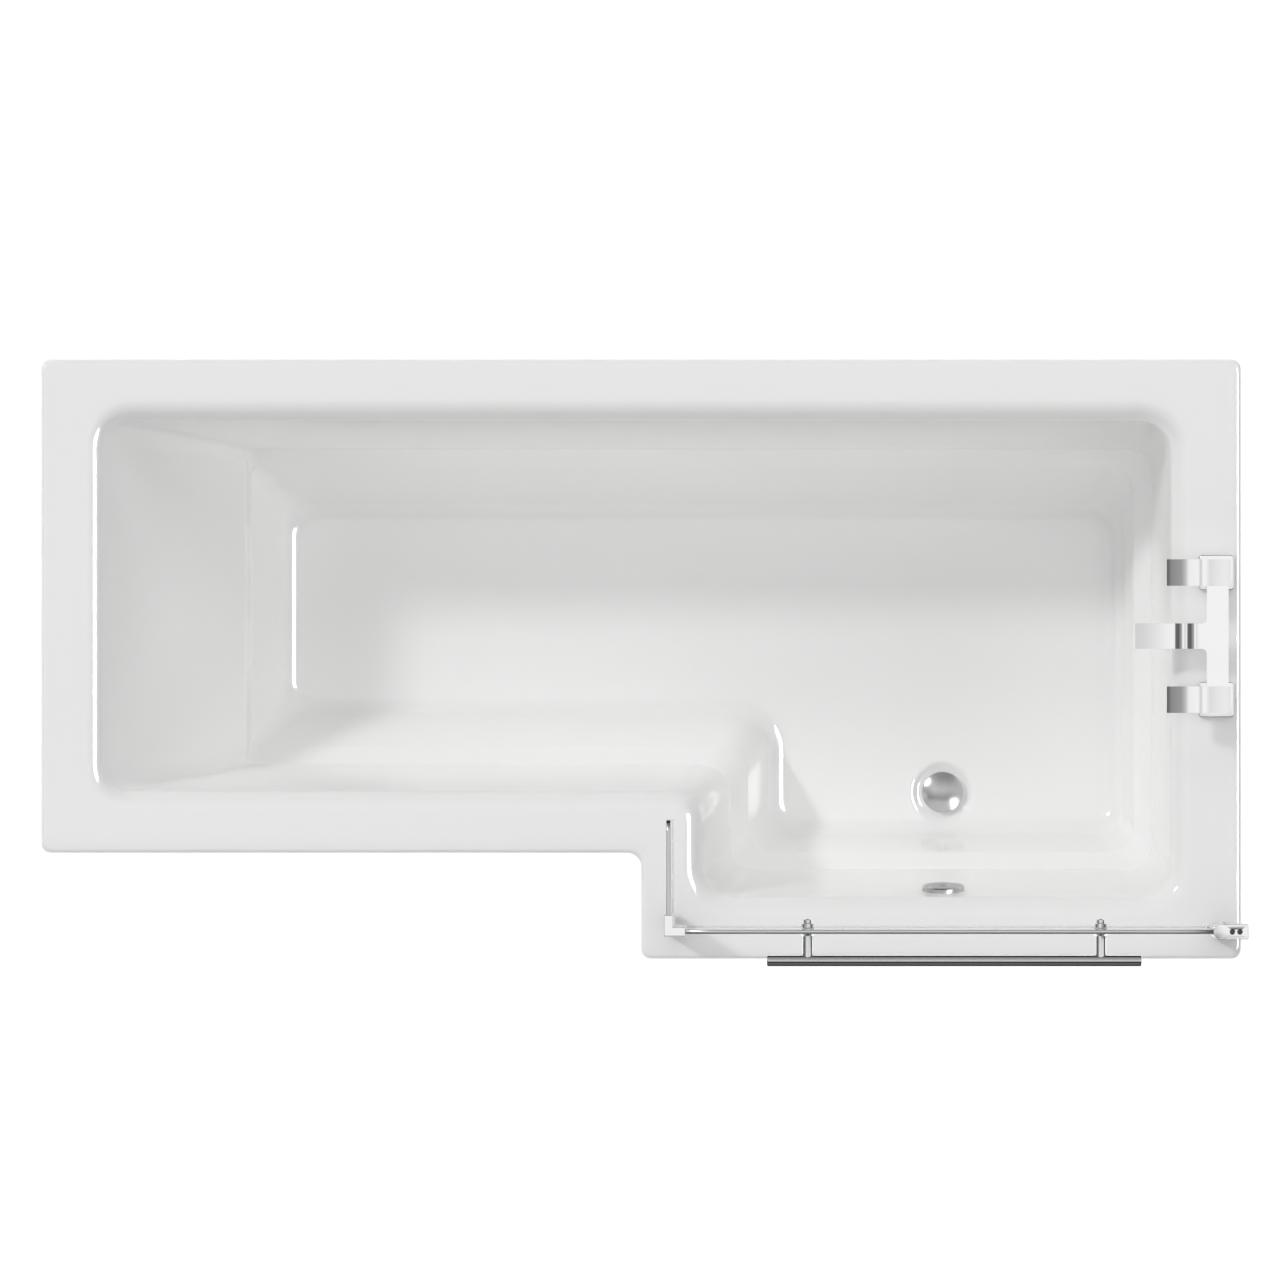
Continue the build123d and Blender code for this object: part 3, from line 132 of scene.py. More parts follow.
def corner_radii(inset, depth):
    """Plan radius of each corner at each station: the sharp walls' radius, which changes evenly with
    depth, plus how far the rounded profile stands outside the sharp one"""
    sharp = np.stack([np.interp(depth[:, side], depths, levels[:, side]) for side in range(6)], 1)
    outside = sharp - inset
    deeper = np.maximum(depth, np.roll(depth, 1, axis=1))
    radii = np.empty_like(inset)
    for corner in range(6):
        steps = (opening_radius[corner], crease_radius[corner], crease_radius[corner], floor_radius[corner])
        grown = (outside[:, corner] + outside[:, corner - 1]) / 2
        radii[:, corner] = np.interp(deeper[:, corner], depths, steps) + turn_sign[corner] * grown
    roll_start = np.argmax(inset[:, 0] >= ledge[0] - rim_roll)
    share = np.clip(inset[:roll_start, :1] / inset[roll_start, 0], 0, 1)
    radii[:roll_start] = outer_radius + (radii[roll_start] - outer_radius) * share
    return radii


radii = corner_radii(inset, depth)
waste_low, waste_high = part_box("waste_flange")
waste_x, waste_y = (waste_low.x + waste_high.x) / 2, (waste_low.y + waste_high.y) / 2
waste_reach = 0.08
fine_steps = 42
tap_wide_corner = 2
waste_hole = 0.024
recess_seat = 0.034
recess_edge = 0.045
recess_depth = 0.005


def l_loops(inset, depth, radii, arc_steps=12, edge_steps=14):
    """Closed loops round the L, one for each station: corner arcs are v - R in + R out + R (in sin t
    - out cos t), where in and out are the directions of the sides that meet there. The straight sides
    are divided evenly, and more finely beside the waste"""
    rear, tap, wide, side_step, narrow, head = inset.T
    corners = np.stack((
        np.stack((shell_low.x + head, shell_high.y - rear), 1),
        np.stack((shell_high.x - tap, shell_high.y - rear), 1),
        np.stack((shell_high.x - tap, shell_low.y + wide), 1),
        np.stack((step + side_step, shell_low.y + wide), 1),
        np.stack((step + side_step, narrow_front + narrow), 1),
        np.stack((shell_low.x + head, narrow_front + narrow), 1),
    ), 1)
    going = np.array(((1, 0), (0, -1), (-1, 0), (0, 1), (-1, 0), (0, 1)), float)
    turn = np.linspace(0, math.pi / 2, arc_steps + 1)
    ease = np.sin(turn) ** 2
    rings = []
    for corner in range(6):
        coming, leaving = going[corner - 1], going[corner]
        radius = radii[:, corner, None, None]
        swing = coming * np.sin(turn)[:, None] - leaving * np.cos(turn)[:, None]
        plan = corners[:, corner, None] + radius * (leaving - coming + swing)
        height = depth[:, corner - 1, None] * (1 - ease) + depth[:, corner, None] * ease
        rings.append(np.concatenate((plan, rim_z - height[..., None]), 2))
    loop = []
    even = np.linspace(0, 1, edge_steps + 1)[1:-1, None]
    for corner in range(6):
        end, start = rings[corner][:, -1:], rings[(corner + 1) % 6][:, :1]
        run = end + (start - end) * even
        if corner == tap_wide_corner:
            near = end * np.array((0, 1, 1)) + np.array((waste_x + waste_reach, 0, 0))
            beyond = end * np.array((0, 1, 1)) + np.array((waste_x - waste_reach, 0, 0))
            fine = np.linspace(0, 1, fine_steps)[:, None]
            run = np.concatenate((
                end + (near - end) * even[::2], near + (beyond - near) * fine,
                beyond + (start - beyond) * even[::2],
            ), 1)
        loop += [rings[corner], run]
    return np.concatenate(loop, 1)


def strip_faces(rows, columns, first=0, closed=True):
    """Quads of a grid of vertices, rows by columns, wrapped round its columns where it is closed"""
    last_column = columns if closed else columns - 1
    row, column = np.meshgrid(np.arange(rows - 1), np.arange(last_column), indexing="ij")
    ahead = (column + 1) % columns
    corners = (row * columns + column, row * columns + ahead, (row + 1) * columns + ahead,
               (row + 1) * columns + column)
    return (np.stack(corners, -1).reshape(-1, 4) + first).tolist()


def mesh_piece(name, points, faces, smooth=True):
    """Object at the origin whose mesh holds the points and faces"""
    mesh = bpy.data.meshes.new(name)
    mesh.from_pydata(np.asarray(points).reshape(-1, 3).tolist(), [], faces)
    mesh.polygons.foreach_set("use_smooth", [smooth] * len(mesh.polygons))
    mesh.update()
    piece = bpy.data.objects.new(name, mesh)
    bpy.context.scene.collection.objects.link(piece)
    return piece


floor_z = rim_z - basin_depth
loops = l_loops(inset, depth, radii)
columns = loops.shape[1]
wall_count = loops.shape[0] * columns


def inside(points, loop):
    """True where a point is inside a closed loop: a ray to the right crosses it an odd number of times"""
    ahead = np.roll(loop, -1, axis=0)
    x, y = points[:, :1], points[:, 1:]
    spans = (loop[:, 1] > y) != (ahead[:, 1] > y)
    rise = np.where(ahead[:, 1] == loop[:, 1], 1, ahead[:, 1] - loop[:, 1])
    cross_x = loop[:, 0] + (y - loop[:, 1]) * (ahead[:, 0] - loop[:, 0]) / rise
    return ((spans & (x < cross_x)).sum(1) % 2) == 1


merge_distance = 1e-7


def flat_fill(loop, hole, loose):
    """Triangles between an outer loop and a hole, through the loose points inside; the result counts
    the loop's points first, then the hole's, then the loose ones"""
    points = np.concatenate((loop, hole, loose))
    fence = [(i, (i + 1) % len(loop)) for i in range(len(loop))]
    fence += [(len(loop) + i, len(loop) + (i + 1) % len(hole)) for i in range(len(hole))]
    made = delaunay_2d_cdt([Vector(point) for point in points], fence, [], 0, merge_distance)
    faces = np.array([[made[3][corner][0] for corner in face] for face in made[2]])
    middles = points[faces].mean(1)
    return faces[inside(middles, loop) & ~inside(middles, hole)]


ring_steps = 96
web_radii = np.concatenate((
    (0.027,), np.arange(0.030, 0.047, 0.002), (0.049, 0.055, 0.066),
))
web_clearance = 0.0015
around = np.linspace(0, 2 * math.pi, ring_steps, endpoint=False)
circle = np.stack((np.cos(around), np.sin(around)), 1)
waste_centre = np.array((waste_x, waste_y))
hole_ring = waste_centre + waste_hole * circle
web = (waste_centre + web_radii[:, None, None] * circle).reshape(-1, 2)
floor_edge = loops[-1, :, :2]
web = web[web[:, 1] > floor_edge[:, 1].min() + web_clearance]
floor_faces = flat_fill(floor_edge, hole_ring, web) + wall_count - columns
floor_points = np.concatenate((hole_ring, web))
floor_points = np.concatenate((floor_points, np.full((len(floor_points), 1), floor_z)), 1)
skin_points = np.concatenate((loops.reshape(-1, 3), floor_points))


recess_slope = 1.6


def dished(points):
    """Lowers the floor into the waste recess: the height is the lower of the floor and a dish that is
    flat to the seat, rises by 3 s^2 - 2 s^3 to the recess's edge and then in a steep cone"""
    far = np.hypot(points[:, 0] - waste_x, points[:, 1] - waste_y)
    share = np.clip((far - recess_seat) / (recess_edge - recess_seat), 0, 1)
    dish = floor_z - recess_depth * (1 - share * share * (3 - 2 * share))
    dish = dish + np.maximum(far - recess_edge, 0) * recess_slope
    points[:, 2] = np.where(far < waste_reach, np.minimum(points[:, 2], dish), points[:, 2])
    return points


skin_faces = strip_faces(len(loops), columns) + floor_faces.tolist()
skin = mesh_piece("bath_skin", dished(skin_points), skin_faces)


def rebuild_normals(piece, up_at):
    """Turns a mesh's faces to one side, so that the face nearest a point faces up"""
    sheet = bmesh.new()
    sheet.from_mesh(piece.data)
    bmesh.ops.recalc_face_normals(sheet, faces=sheet.faces)
    nearest = min(sheet.faces, key=lambda face: (face.calc_center_median() - Vector(up_at)).length)
    if nearest.normal.z < 0:
        bmesh.ops.reverse_faces(sheet, faces=sheet.faces)
    sheet.to_mesh(piece.data)
    sheet.free()


half_ledge = 0.03
rebuild_normals(skin, (0, shell_high.y - half_ledge, rim_z))
wall = skin.modifiers.new("wall", "SOLIDIFY")
wall.thickness = shell
wall.offset = -1
wall.use_even_offset = True
wall.material_offset = 1


def value_group(name, inputs, output, kind):
    """Node group with named number or colour inputs, object coordinates in, and one output"""
    group = bpy.data.node_groups.new(name, "ShaderNodeTree")
    for label, socket, start in inputs:
        made = group.interface.new_socket(label, in_out="INPUT", socket_type=socket)
        made.default_value = start
    group.interface.new_socket(output, in_out="OUTPUT", socket_type=kind)
    start, end = group.nodes.new("NodeGroupInput"), group.nodes.new("NodeGroupOutput")
    place = group.nodes.new("ShaderNodeTexCoord")
    return group, start, end, place


def make_mottle():
    """Soft blotches: a noise mapped between two colours"""
    group, start, end, place = value_group("mottle", (
        ("Scale", "NodeSocketFloat", 4.0), ("Pale", "NodeSocketColor", (1, 1, 1, 1)),
        ("Deep", "NodeSocketColor", (0.9, 0.9, 0.9, 1)),
    ), "Colour", "NodeSocketColor")
    noise, mix = group.nodes.new("ShaderNodeTexNoise"), group.nodes.new("ShaderNodeMix")
    noise.inputs["Detail"].default_value = 3
    mix.data_type = "RGBA"
    group.links.new(place.outputs["Object"], noise.inputs["Vector"])
    group.links.new(start.outputs["Scale"], noise.inputs["Scale"])
    group.links.new(noise.outputs["Fac"], mix.inputs["Factor"])
    group.links.new(start.outputs["Pale"], mix.inputs[6])
    group.links.new(start.outputs["Deep"], mix.inputs[7])
    group.links.new(mix.outputs[2], end.inputs["Colour"])
    return group


def make_smears():
    """Roughness between two levels, in faint wiped smears"""
    group, start, end, place = value_group("smears", (
        ("Scale", "NodeSocketFloat", 6.0), ("Smooth", "NodeSocketFloat", 0.08),
        ("Rough", "NodeSocketFloat", 0.2),
    ), "Roughness", "NodeSocketFloat")
    noise, spread = group.nodes.new("ShaderNodeTexNoise"), group.nodes.new("ShaderNodeMapRange")
    noise.inputs["Detail"].default_value = 5
    noise.inputs["Distortion"].default_value = 1.2
    spread.inputs["From Min"].default_value = 0.35
    spread.inputs["From Max"].default_value = 0.75
    group.links.new(place.outputs["Object"], noise.inputs["Vector"])
    group.links.new(start.outputs["Scale"], noise.inputs["Scale"])
    group.links.new(noise.outputs["Fac"], spread.inputs["Value"])
    group.links.new(start.outputs["Smooth"], spread.inputs["To Min"])
    group.links.new(start.outputs["Rough"], spread.inputs["To Max"])
    group.links.new(spread.outputs["Result"], end.inputs["Roughness"])
    return group


def make_grain():
    """Height of a fine even grain over a slower swell"""
    group, start, end, place = value_group("grain", (
        ("Fine", "NodeSocketFloat", 600.0), ("Slow", "NodeSocketFloat", 8.0),
        ("Swell", "NodeSocketFloat", 0.8),
    ), "Height", "NodeSocketFloat")
    fine, slow = group.nodes.new("ShaderNodeTexNoise"), group.nodes.new("ShaderNodeTexNoise")
    slow.inputs["Detail"].default_value = 1
    blend = group.nodes.new("ShaderNodeMix")
    group.links.new(place.outputs["Object"], fine.inputs["Vector"])
    group.links.new(place.outputs["Object"], slow.inputs["Vector"])
    group.links.new(start.outputs["Fine"], fine.inputs["Scale"])
    group.links.new(start.outputs["Slow"], slow.inputs["Scale"])
    group.links.new(start.outputs["Swell"], blend.inputs["Factor"])
    group.links.new(fine.outputs["Fac"], blend.inputs[2])
    group.links.new(slow.outputs["Fac"], blend.inputs[3])
    group.links.new(blend.outputs[0], end.inputs["Height"])
    return group


mottle, smears, grain = make_mottle(), make_smears(), make_grain()


def finish(name, pale, deep, smooth, rough, metal=0.0, blotch=4.0, smear=6.0, fine=600.0, slow=8.0,
           swell=0.8, bump=0.02, relief=0.001):
    """Material with mottled colour, smeared gloss and a fine grain"""
    material = bpy.data.materials.new(name)
    material.use_nodes = True
    tree = material.node_tree
    surface = tree.nodes["Principled BSDF"]
    surface.inputs["Metallic"].default_value = metal
    for group, values, output, target in (
        (mottle, {"Scale": blotch, "Pale": (*pale, 1), "Deep": (*deep, 1)}, "Colour", "Base Color"),
        (smears, {"Scale": smear, "Smooth": smooth, "Rough": rough}, "Roughness", "Roughness"),
    ):
        node = tree.nodes.new("ShaderNodeGroup")
        node.node_tree = group
        for label, value in values.items():
            node.inputs[label].default_value = value
        tree.links.new(node.outputs[output], surface.inputs[target])
    height, ridge = tree.nodes.new("ShaderNodeGroup"), tree.nodes.new("ShaderNodeBump")
    height.node_tree = grain
    for label, value in (("Fine", fine), ("Slow", slow), ("Swell", swell)):
        height.inputs[label].default_value = value
    ridge.inputs["Strength"].default_value = bump
    ridge.inputs["Distance"].default_value = relief
    tree.links.new(height.outputs["Height"], ridge.inputs["Height"])
    tree.links.new(ridge.outputs["Normal"], surface.inputs["Normal"])
    return material


acrylic_index = 1.49
acrylic = finish("white_acrylic", (0.91, 0.91, 0.907), (0.895, 0.895, 0.89), 0.07, 0.11,
                 bump=0.03, slow=5.0)
acrylic.node_tree.nodes["Principled BSDF"].inputs["IOR"].default_value = acrylic_index
fibre = finish("glass_fibre_backing", (0.74, 0.73, 0.66), (0.60, 0.59, 0.50), 0.45, 0.7, blotch=60,
               fine=900, slow=180, swell=0.6, bump=0.6, relief=0.002)
skin.data.materials.append(acrylic)
skin.data.materials.append(fibre)
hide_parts("bath_shell")
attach(skin, "bath")


def dress(material, *names):
    """Gives CAD nodes one finish"""
    for name in names:
        nodes[name].material_slots[0].material = material


chipboard = finish("chipboard", (0.62, 0.47, 0.30), (0.42, 0.29, 0.17), 0.6, 0.85, blotch=220,
                   fine=800, slow=260, swell=0.5, bump=0.5)
dress(chipboard, "base_board")
pine = finish("sawn_pine", (0.80, 0.62, 0.40), (0.62, 0.42, 0.22), 0.55, 0.8, blotch=45,
              fine=700, slow=90, swell=0.6, bump=0.4)
dress(pine, "rim_battens", "floor_battens")
zinc = finish("zinc_plated_steel", (0.66, 0.67, 0.68), (0.50, 0.52, 0.55), 0.28, 0.5, metal=1.0,
              blotch=70, smear=30, bump=0.1)
dress(zinc, "leg_bars", "leg_studs", "leg_nuts", "board_screws", "panel_screws", "panel_clips",
      "hinge_pins", "set_screw_rear", "set_screw_front")
pad_plastic = finish("black_foot_plastic", (0.03, 0.03, 0.032), (0.02, 0.02, 0.022), 0.35, 0.6, bump=0.2)
dress(pad_plastic, "foot_pads")


# Front panel: a skirt of 3 mm acrylic sheet with a step and turned-in edges. Spring clips under the
# rim hold its top, and capped screws hold its foot to a batten on the floor.
panel_acrylic = finish("panel_acrylic", (0.87, 0.87, 0.86), (0.85, 0.85, 0.84), 0.10, 0.17, bump=0.06)
dress(panel_acrylic, "front_panel")


def eased(name, width, body, keep_angle=math.radians(35), flat_angle=math.radians(0.5)):
    """Copy of a CAD node with its loose triangles merged, flat faces joined, and every edge sharper
    than the angle rounded off by the width; it hides the node and stands for it, on the given body"""
    sheet = bmesh.new()
    sheet.from_mesh(nodes[name].data)
    bmesh.ops.remove_doubles(sheet, verts=sheet.verts, dist=1e-6)
    bmesh.ops.dissolve_limit(
        sheet, angle_limit=flat_angle, verts=sheet.verts, edges=sheet.edges, use_dissolve_boundaries=False,
    )
    mesh = bpy.data.meshes.new(name + "_eased")
    sheet.to_mesh(mesh)
    sheet.free()
    mesh.polygons.foreach_set("use_smooth", [True] * len(mesh.polygons))
    mesh.set_sharp_from_angle(angle=keep_angle)
    piece = bpy.data.objects.new(name + "_eased", mesh)
    bpy.context.scene.collection.objects.link(piece)
    rounding = piece.modifiers.new("eased_edges", "BEVEL")
    rounding.width = width
    rounding.segments = 3
    rounding.limit_method = "ANGLE"
    rounding.angle_limit = keep_angle
    rounding.harden_normals = True
    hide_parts(name)
    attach(piece, body)
    return piece


aluminium = finish("silver_aluminium", (0.66, 0.67, 0.68), (0.58, 0.59, 0.60), 0.14, 0.26, metal=1.0,
                   smear=40, bump=0.03)
dress(aluminium, "wall_profile", "slide_profile", "pivot_post", "corner_post")
cap_chrome = finish("cap_chrome", (0.93, 0.93, 0.93), (0.88, 0.88, 0.88), 0.05, 0.12, metal=1.0)
cap_edge = 0.0012
for name, body in (("top_cap", "bath"), ("foot_cap", "bath"), ("corner_caps", "screen")):
    eased(name, cap_edge, body).data.materials.append(cap_chrome)
screw_steel = finish("screw_steel", (0.16, 0.16, 0.165), (0.10, 0.10, 0.105), 0.3, 0.45, metal=1.0)
dress(screw_steel, "cap_screws")
nylon = finish("white_nylon", (0.85, 0.84, 0.80), (0.80, 0.79, 0.74), 0.35, 0.5)
dress(nylon, "pivot_bushes")
vinyl = finish("clear_vinyl", (0.86, 0.89, 0.90), (0.80, 0.84, 0.85), 0.2, 0.35)
vinyl_clearness = 0.7
vinyl.node_tree.nodes["Principled BSDF"].inputs["Transmission Weight"].default_value = vinyl_clearness
dress(vinyl, "post_gasket", "main_seal", "return_seal", "rail_washers")
glass = finish("clear_glass", (0.95, 0.955, 0.952), (0.94, 0.948, 0.945), 0.0, 0.02, bump=0.0)
glass.node_tree.nodes["Principled BSDF"].inputs["Transmission Weight"].default_value = 1.0
glass_index = 1.5
glass.node_tree.nodes["Principled BSDF"].inputs["IOR"].default_value = glass_index
dress(glass, "main_glass", "return_glass")
for name in ("main_glass", "return_glass", "main_seal", "return_seal"):
    nodes[name].visible_shadow = False
    nodes[name].visible_diffuse = False

ground_glass = finish("ground_edge", (0.84, 0.85, 0.85), (0.78, 0.79, 0.79), 0.34, 0.42, metal=1.0,
                      bump=0.05)
edge_crown = 0.0016
edge_sink = 0.0006
edge_start = 0.001
edge_stop = 0.004


def ground_edge(name, start, end, width, body, rows=13, sides=17):
    """Polished top edge of a pane: half an ellipse over the pane's thickness, as wide as the glass and
    a crown high, swept from start to end: across = half width x cos t, up = crown x sin t"""
    turn = np.linspace(0, math.pi, sides)
    along = np.array(end) - np.array(start)
    across = np.array((-along[1], along[0], 0)) / np.linalg.norm(along)
    up = np.array((0, 0, 1))
    arc = across * (width / 2 * np.cos(turn))[:, None] + up * (edge_crown * np.sin(turn))[:, None]
    points = np.array(start) + arc[None] + along * np.linspace(0, 1, rows)[:, None, None]
    first_end, last_end = tuple(range(sides)), tuple(range((rows - 1) * sides, rows * sides))[::-1]
    piece = mesh_piece(name, points, strip_faces(rows, sides, closed=False) + [first_end, last_end])
    piece.data.materials.append(ground_glass)
    rebuild_normals(piece, tuple((np.array(start) + np.array(end)) / 2 + up * edge_crown))
    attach(piece, body)
    piece.visible_shadow = False


main_low, main_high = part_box("main_glass")
return_low, return_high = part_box("return_glass")
main_middle, return_middle = (main_low.y + main_high.y) / 2, (return_low.x + return_high.x) / 2
main_top, return_top = main_high.z - edge_sink, return_high.z - edge_sink
ground_edge("main_glass_edge", (main_low.x + edge_start, main_middle, main_top),
            (main_high.x - edge_stop, main_middle, main_top), main_high.y - main_low.y, "screen")
ground_edge("return_glass_edge", (return_middle, return_low.y + edge_start, return_top),
            (return_middle, return_high.y - edge_stop, return_top), return_high.x - return_low.x, "screen")


# Towel rail: a chromed steel tube outside the screen. Two turned posts stand it off the glass, and each
# is bolted through a washered hole to a round knob inside.
rail_chrome = finish("rail_chrome", (0.84, 0.84, 0.84), (0.78, 0.78, 0.78), 0.06, 0.14, metal=1.0)
dress(rail_chrome, "rail_bar", "rail_posts", "rail_knobs")


# Deck filler: cast brass bridge and spout on two square plates, with strap levers, all polished and
# chromed. Brass tails go down through the rim, and rubber washers and plastic nuts clamp it there.
tap_chrome = finish("tap_chrome", (0.95, 0.95, 0.95), (0.91, 0.91, 0.91), 0.04, 0.09, metal=1.0)
for name, width, body in (
    ("tap_base_plates", 0.002, "bath"), ("tap_body", 0.0022, "bath"),
    ("lever_rear", 0.002, "lever_rear_body"), ("lever_front", 0.002, "lever_front_body"),
):
    eased(name, width, body).data.materials.append(tap_chrome)
grey_plastic = finish("aerator_plastic", (0.35, 0.35, 0.36), (0.28, 0.28, 0.29), 0.3, 0.5)
dress(grey_plastic, "aerator")
brass = finish("raw_brass", (0.80, 0.60, 0.30), (0.66, 0.46, 0.20), 0.25, 0.45, metal=1.0, blotch=50)
dress(brass, "tap_tails", "valve_cartridges", "spindle_rear", "spindle_front", "plug_sleeve", "plug_stem")
rubber = finish("black_rubber", (0.025, 0.025, 0.025), (0.018, 0.018, 0.018), 0.5, 0.8, bump=0.3)
dress(rubber, "tap_washers", "waste_seals", "plug_seal", "overflow_seal")


# Waste, trap and overflow: a satin chromed flange and push-to-open plug screwed down on to a body of
# white moulded plastic, with a trap below and a grey hose from the overflow.
waste_chrome = finish("waste_chrome", (0.62, 0.62, 0.62), (0.54, 0.54, 0.54), 0.24, 0.32, metal=1.0)
dress(waste_chrome, "waste_flange", "plug_dome", "overflow_plate", "overflow_screw")
white_plastic = finish("white_plumbing_plastic", (0.84, 0.85, 0.86), (0.78, 0.79, 0.80), 0.3, 0.5, bump=0.1)
dress(white_plastic, "tap_backnuts", "waste_body", "trap", "trap_nuts", "overflow_elbow",
      "panel_screw_caps")
hose_plastic = finish("grey_hose", (0.45, 0.46, 0.47), (0.36, 0.37, 0.38), 0.4, 0.6, bump=0.2)
dress(hose_plastic, "overflow_hose")


# Studio: a pale floor that glows to white, one softbox overhead and a ring of low side panels that are
# brighter behind the bath, and what polished metal mirrors: an even sky, brightest overhead.
floor_half = 6.0
floor_drop = 0.001
floor = mesh_piece("studio_floor", (
    (-floor_half, -floor_half, -floor_drop), (floor_half, -floor_half, -floor_drop),
    (floor_half, floor_half, -floor_drop), (-floor_half, floor_half, -floor_drop),
), [(0, 1, 2, 3)])
floor_glow = 0.75
pale = bpy.data.materials.new("pale_floor")
pale.use_nodes = True
pale_surface = pale.node_tree.nodes["Principled BSDF"]
pale_surface.inputs["Base Color"].default_value = (0.6, 0.6, 0.6, 1)
pale_surface.inputs["Roughness"].default_value = 0.9
pale_surface.inputs["Emission Color"].default_value = (1, 1, 1, 1)
pale_surface.inputs["Emission Strength"].default_value = floor_glow
floor.data.materials.append(pale)

world = bpy.data.worlds.new("studio")
bpy.context.scene.world = world
world.use_nodes = True
sky = world.node_tree
direction, split = sky.nodes.new("ShaderNodeTexCoord"), sky.nodes.new("ShaderNodeSeparateXYZ")
sky.links.new(direction.outputs["Generated"], split.inputs[0])


def graded(source, levels, interpolation):
    """Brightness that follows a number between 0 and 1, as (number, level) pairs"""
    grades = sky.nodes.new("ShaderNodeValToRGB")
    stops = grades.color_ramp
    stops.interpolation = interpolation
    while len(stops.elements) < len(levels):
        stops.elements.new(0.5)
    for stop, (place, level) in zip(stops.elements, levels):
        stop.position = place
        stop.color = (level, level, level, 1)
    sky.links.new(source, grades.inputs["Fac"])
    return grades.outputs["Color"]


def sky_light(levels, interpolation):
    """Background whose brightness follows the height of the direction, as (sine of height, level)"""
    light = sky.nodes.new("ShaderNodeBackground")
    sky.links.new(graded(split.outputs["Z"], levels, interpolation), light.inputs["Color"])
    return light


def side_cards(axis, levels):
    """Brightness that follows the direction's sideways part from -1 to 1, as (part, level) pairs"""
    halved = sky.nodes.new("ShaderNodeMapRange")
    halved.inputs["From Min"].default_value = -1
    sky.links.new(split.outputs[axis], halved.inputs["Value"])
    return graded(halved.outputs["Result"], [((part + 1) / 2, level) for part, level in levels], "LINEAR")


panels = sky_light(((0, 0), (0.342, 0.74), (0.707, 0.05), (0.94, 0.975)), "CONSTANT")
mirrored = sky_light((
    (0, 0.03), (0.25, 0.06), (0.40, 0.45), (0.50, 0.80), (0.66, 0.86), (0.80, 0.90), (0.94, 0.95),
    (1, 0.97),
), "LINEAR")
cards = sky.nodes.new("ShaderNodeMath")
cards.operation = "MULTIPLY"
sky.links.new(side_cards("X", (
    (-1, 0.30), (-0.91, 0.33), (-0.65, 0.39), (-0.54, 0.60), (-0.45, 0.96), (-0.16, 0.98), (-0.11, 0.70),
    (-0.07, 0.70), (-0.02, 0.98), (0.05, 0.98), (0.20, 0.785), (0.35, 0.86), (0.50, 0.93), (0.65, 1),
    (1, 0.9),
)), cards.inputs[0])
sky.links.new(side_cards("Y", (
    (-1, 0.40), (-0.93, 0.30), (-0.80, 0.16), (-0.55, 0.10), (-0.42, 0.03), (-0.28, 0.04), (-0.12, 0.50),
    (-0.02, 1), (0.15, 1), (0.35, 0.75), (0.6, 0.48), (0.85, 0.34), (1, 0.25),
)), cards.inputs[1])
sky.links.new(cards.outputs[0], mirrored.inputs["Strength"])
panel_strength = 1.73
panel_lean = (0.06, 0.42, 0)
lean, brighter = sky.nodes.new("ShaderNodeVectorMath"), sky.nodes.new("ShaderNodeMath")
lean.operation = "DOT_PRODUCT"
lean.inputs[1].default_value = panel_lean
brighter.operation = "ADD"
brighter.inputs[1].default_value = panel_strength
sky.links.new(direction.outputs["Generated"], lean.inputs[0])
sky.links.new(lean.outputs["Value"], brighter.inputs[0])
sky.links.new(brighter.outputs[0], panels.inputs["Strength"])
white = sky.nodes["Background"]
white.inputs["Color"].default_value = (1, 1, 1, 1)
seen = sky.nodes.new("ShaderNodeLightPath")


def joined(operation, first, second):
    """Result of a sum on two numbers, held between 0 and 1"""
    sum_of = sky.nodes.new("ShaderNodeMath")
    sum_of.operation = operation
    sum_of.use_clamp = True
    sky.links.new(first, sum_of.inputs[0])
    sky.links.new(second, sum_of.inputs[1])
    return sum_of.outputs[0]


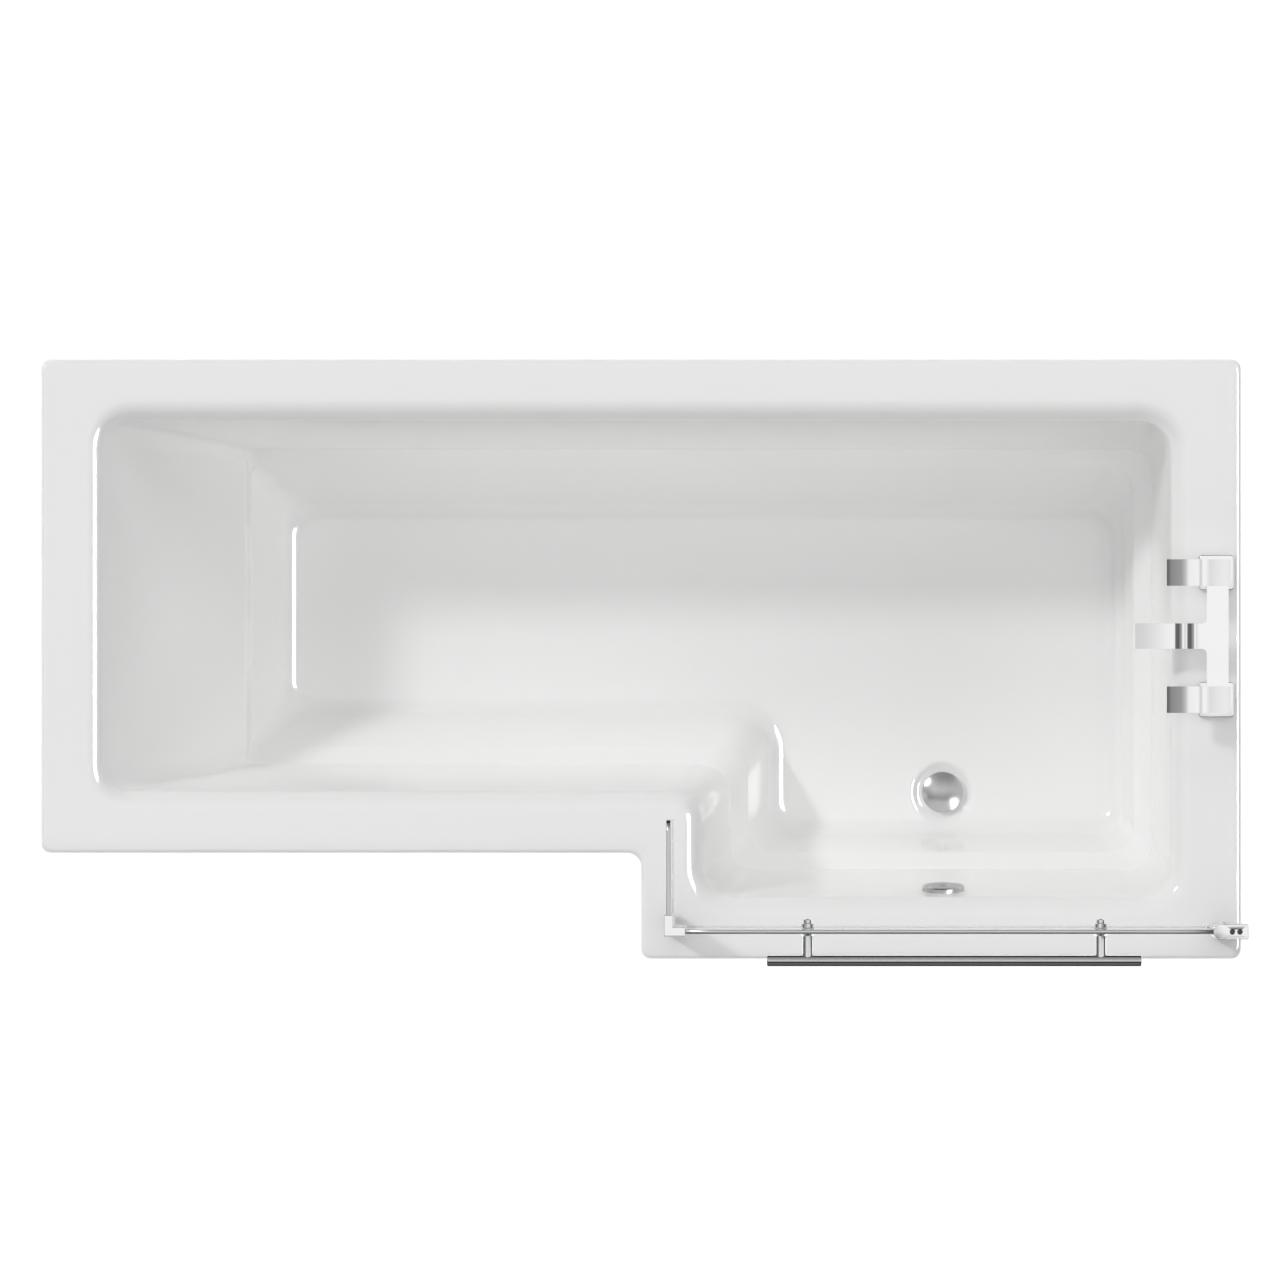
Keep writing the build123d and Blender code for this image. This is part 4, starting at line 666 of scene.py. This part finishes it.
# Light that metal mirrors through the glass counts as mirrored; light seen straight through it is white
through = joined("MULTIPLY", seen.outputs["Is Transmission Ray"], seen.outputs["Glossy Depth"])
mirror_seen = joined("MAXIMUM", seen.outputs["Is Glossy Ray"], through)
looked = joined("MAXIMUM", seen.outputs["Is Camera Ray"],
                joined("SUBTRACT", seen.outputs["Is Transmission Ray"], through))
glints, choose = sky.nodes.new("ShaderNodeMixShader"), sky.nodes.new("ShaderNodeMixShader")
sky.links.new(mirror_seen, glints.inputs["Fac"])
sky.links.new(panels.outputs[0], glints.inputs[1])
sky.links.new(mirrored.outputs[0], glints.inputs[2])
sky.links.new(looked, choose.inputs["Fac"])
sky.links.new(glints.outputs[0], choose.inputs[1])
sky.links.new(white.outputs[0], choose.inputs[2])
sky.links.new(choose.outputs[0], sky.nodes["World Output"].inputs["Surface"])


def aimed(offset, towards, up):
    """Matrix of a light or camera at an offset from a point, looking at it with a chosen up"""
    back = Vector(offset).normalized()
    across = Vector(up).cross(back).normalized()
    turn = Matrix((across, back.cross(across), back)).transposed().to_4x4()
    return Matrix.Translation(Vector(towards) + Vector(offset)) @ turn


rim_centre = Vector((0, 0, rim_z))
north = (0, 1, 0)
key_height = 3.0
key_from = (-1.06 * key_height, 0.70 * key_height, key_height)
key_data = bpy.data.lights.new("key", "SUN")
key_data.energy = 0.80
key_data.angle = math.radians(6)
key = bpy.data.objects.new("key", key_data)
key.matrix_world = aimed(key_from, rim_centre, north)
bpy.context.scene.collection.objects.link(key)

strip_data = bpy.data.lights.new("strip", "AREA")
strip_data.shape = "RECTANGLE"
strip_data.size = 1.5
strip_data.size_y = 2.6
strip_data.energy = 700
strip = bpy.data.objects.new("strip", strip_data)
strip_tilt, strip_distance = math.radians(38), 5
strip_from = (strip_distance * math.sin(strip_tilt), 0, strip_distance * math.cos(strip_tilt))
strip.matrix_world = aimed(strip_from, rim_centre, north)
strip.visible_diffuse = False
bpy.context.scene.collection.objects.link(strip)
glinting = bpy.data.collections.new("glinting_acrylic")
glinting.objects.link(skin)
strip.light_linking.receiver_collection = glinting


# Camera: a very long lens high above the bath and just off the upright, as in a product photograph
# taken from straight above. The frame is 1.81 m wide at the rim.
lens = 1650.0
sensor = 36.0
frame_width = 1.8133
camera_aside, camera_before = 0.226, 0.184
camera_reach = 300
camera_data = bpy.data.cameras.new("camera")
camera_data.lens = lens
camera_data.sensor_width = sensor
camera_data.clip_end = camera_reach
camera = bpy.data.objects.new("camera", camera_data)
look_at = Vector((-0.0014, 0.0318, rim_z))
camera_from = (camera_aside, -camera_before, lens * frame_width / sensor)
camera.matrix_world = aimed(camera_from, look_at, north)
bpy.context.scene.collection.objects.link(camera)
bpy.context.scene.camera = camera
bpy.context.scene.view_settings.view_transform = "Standard"
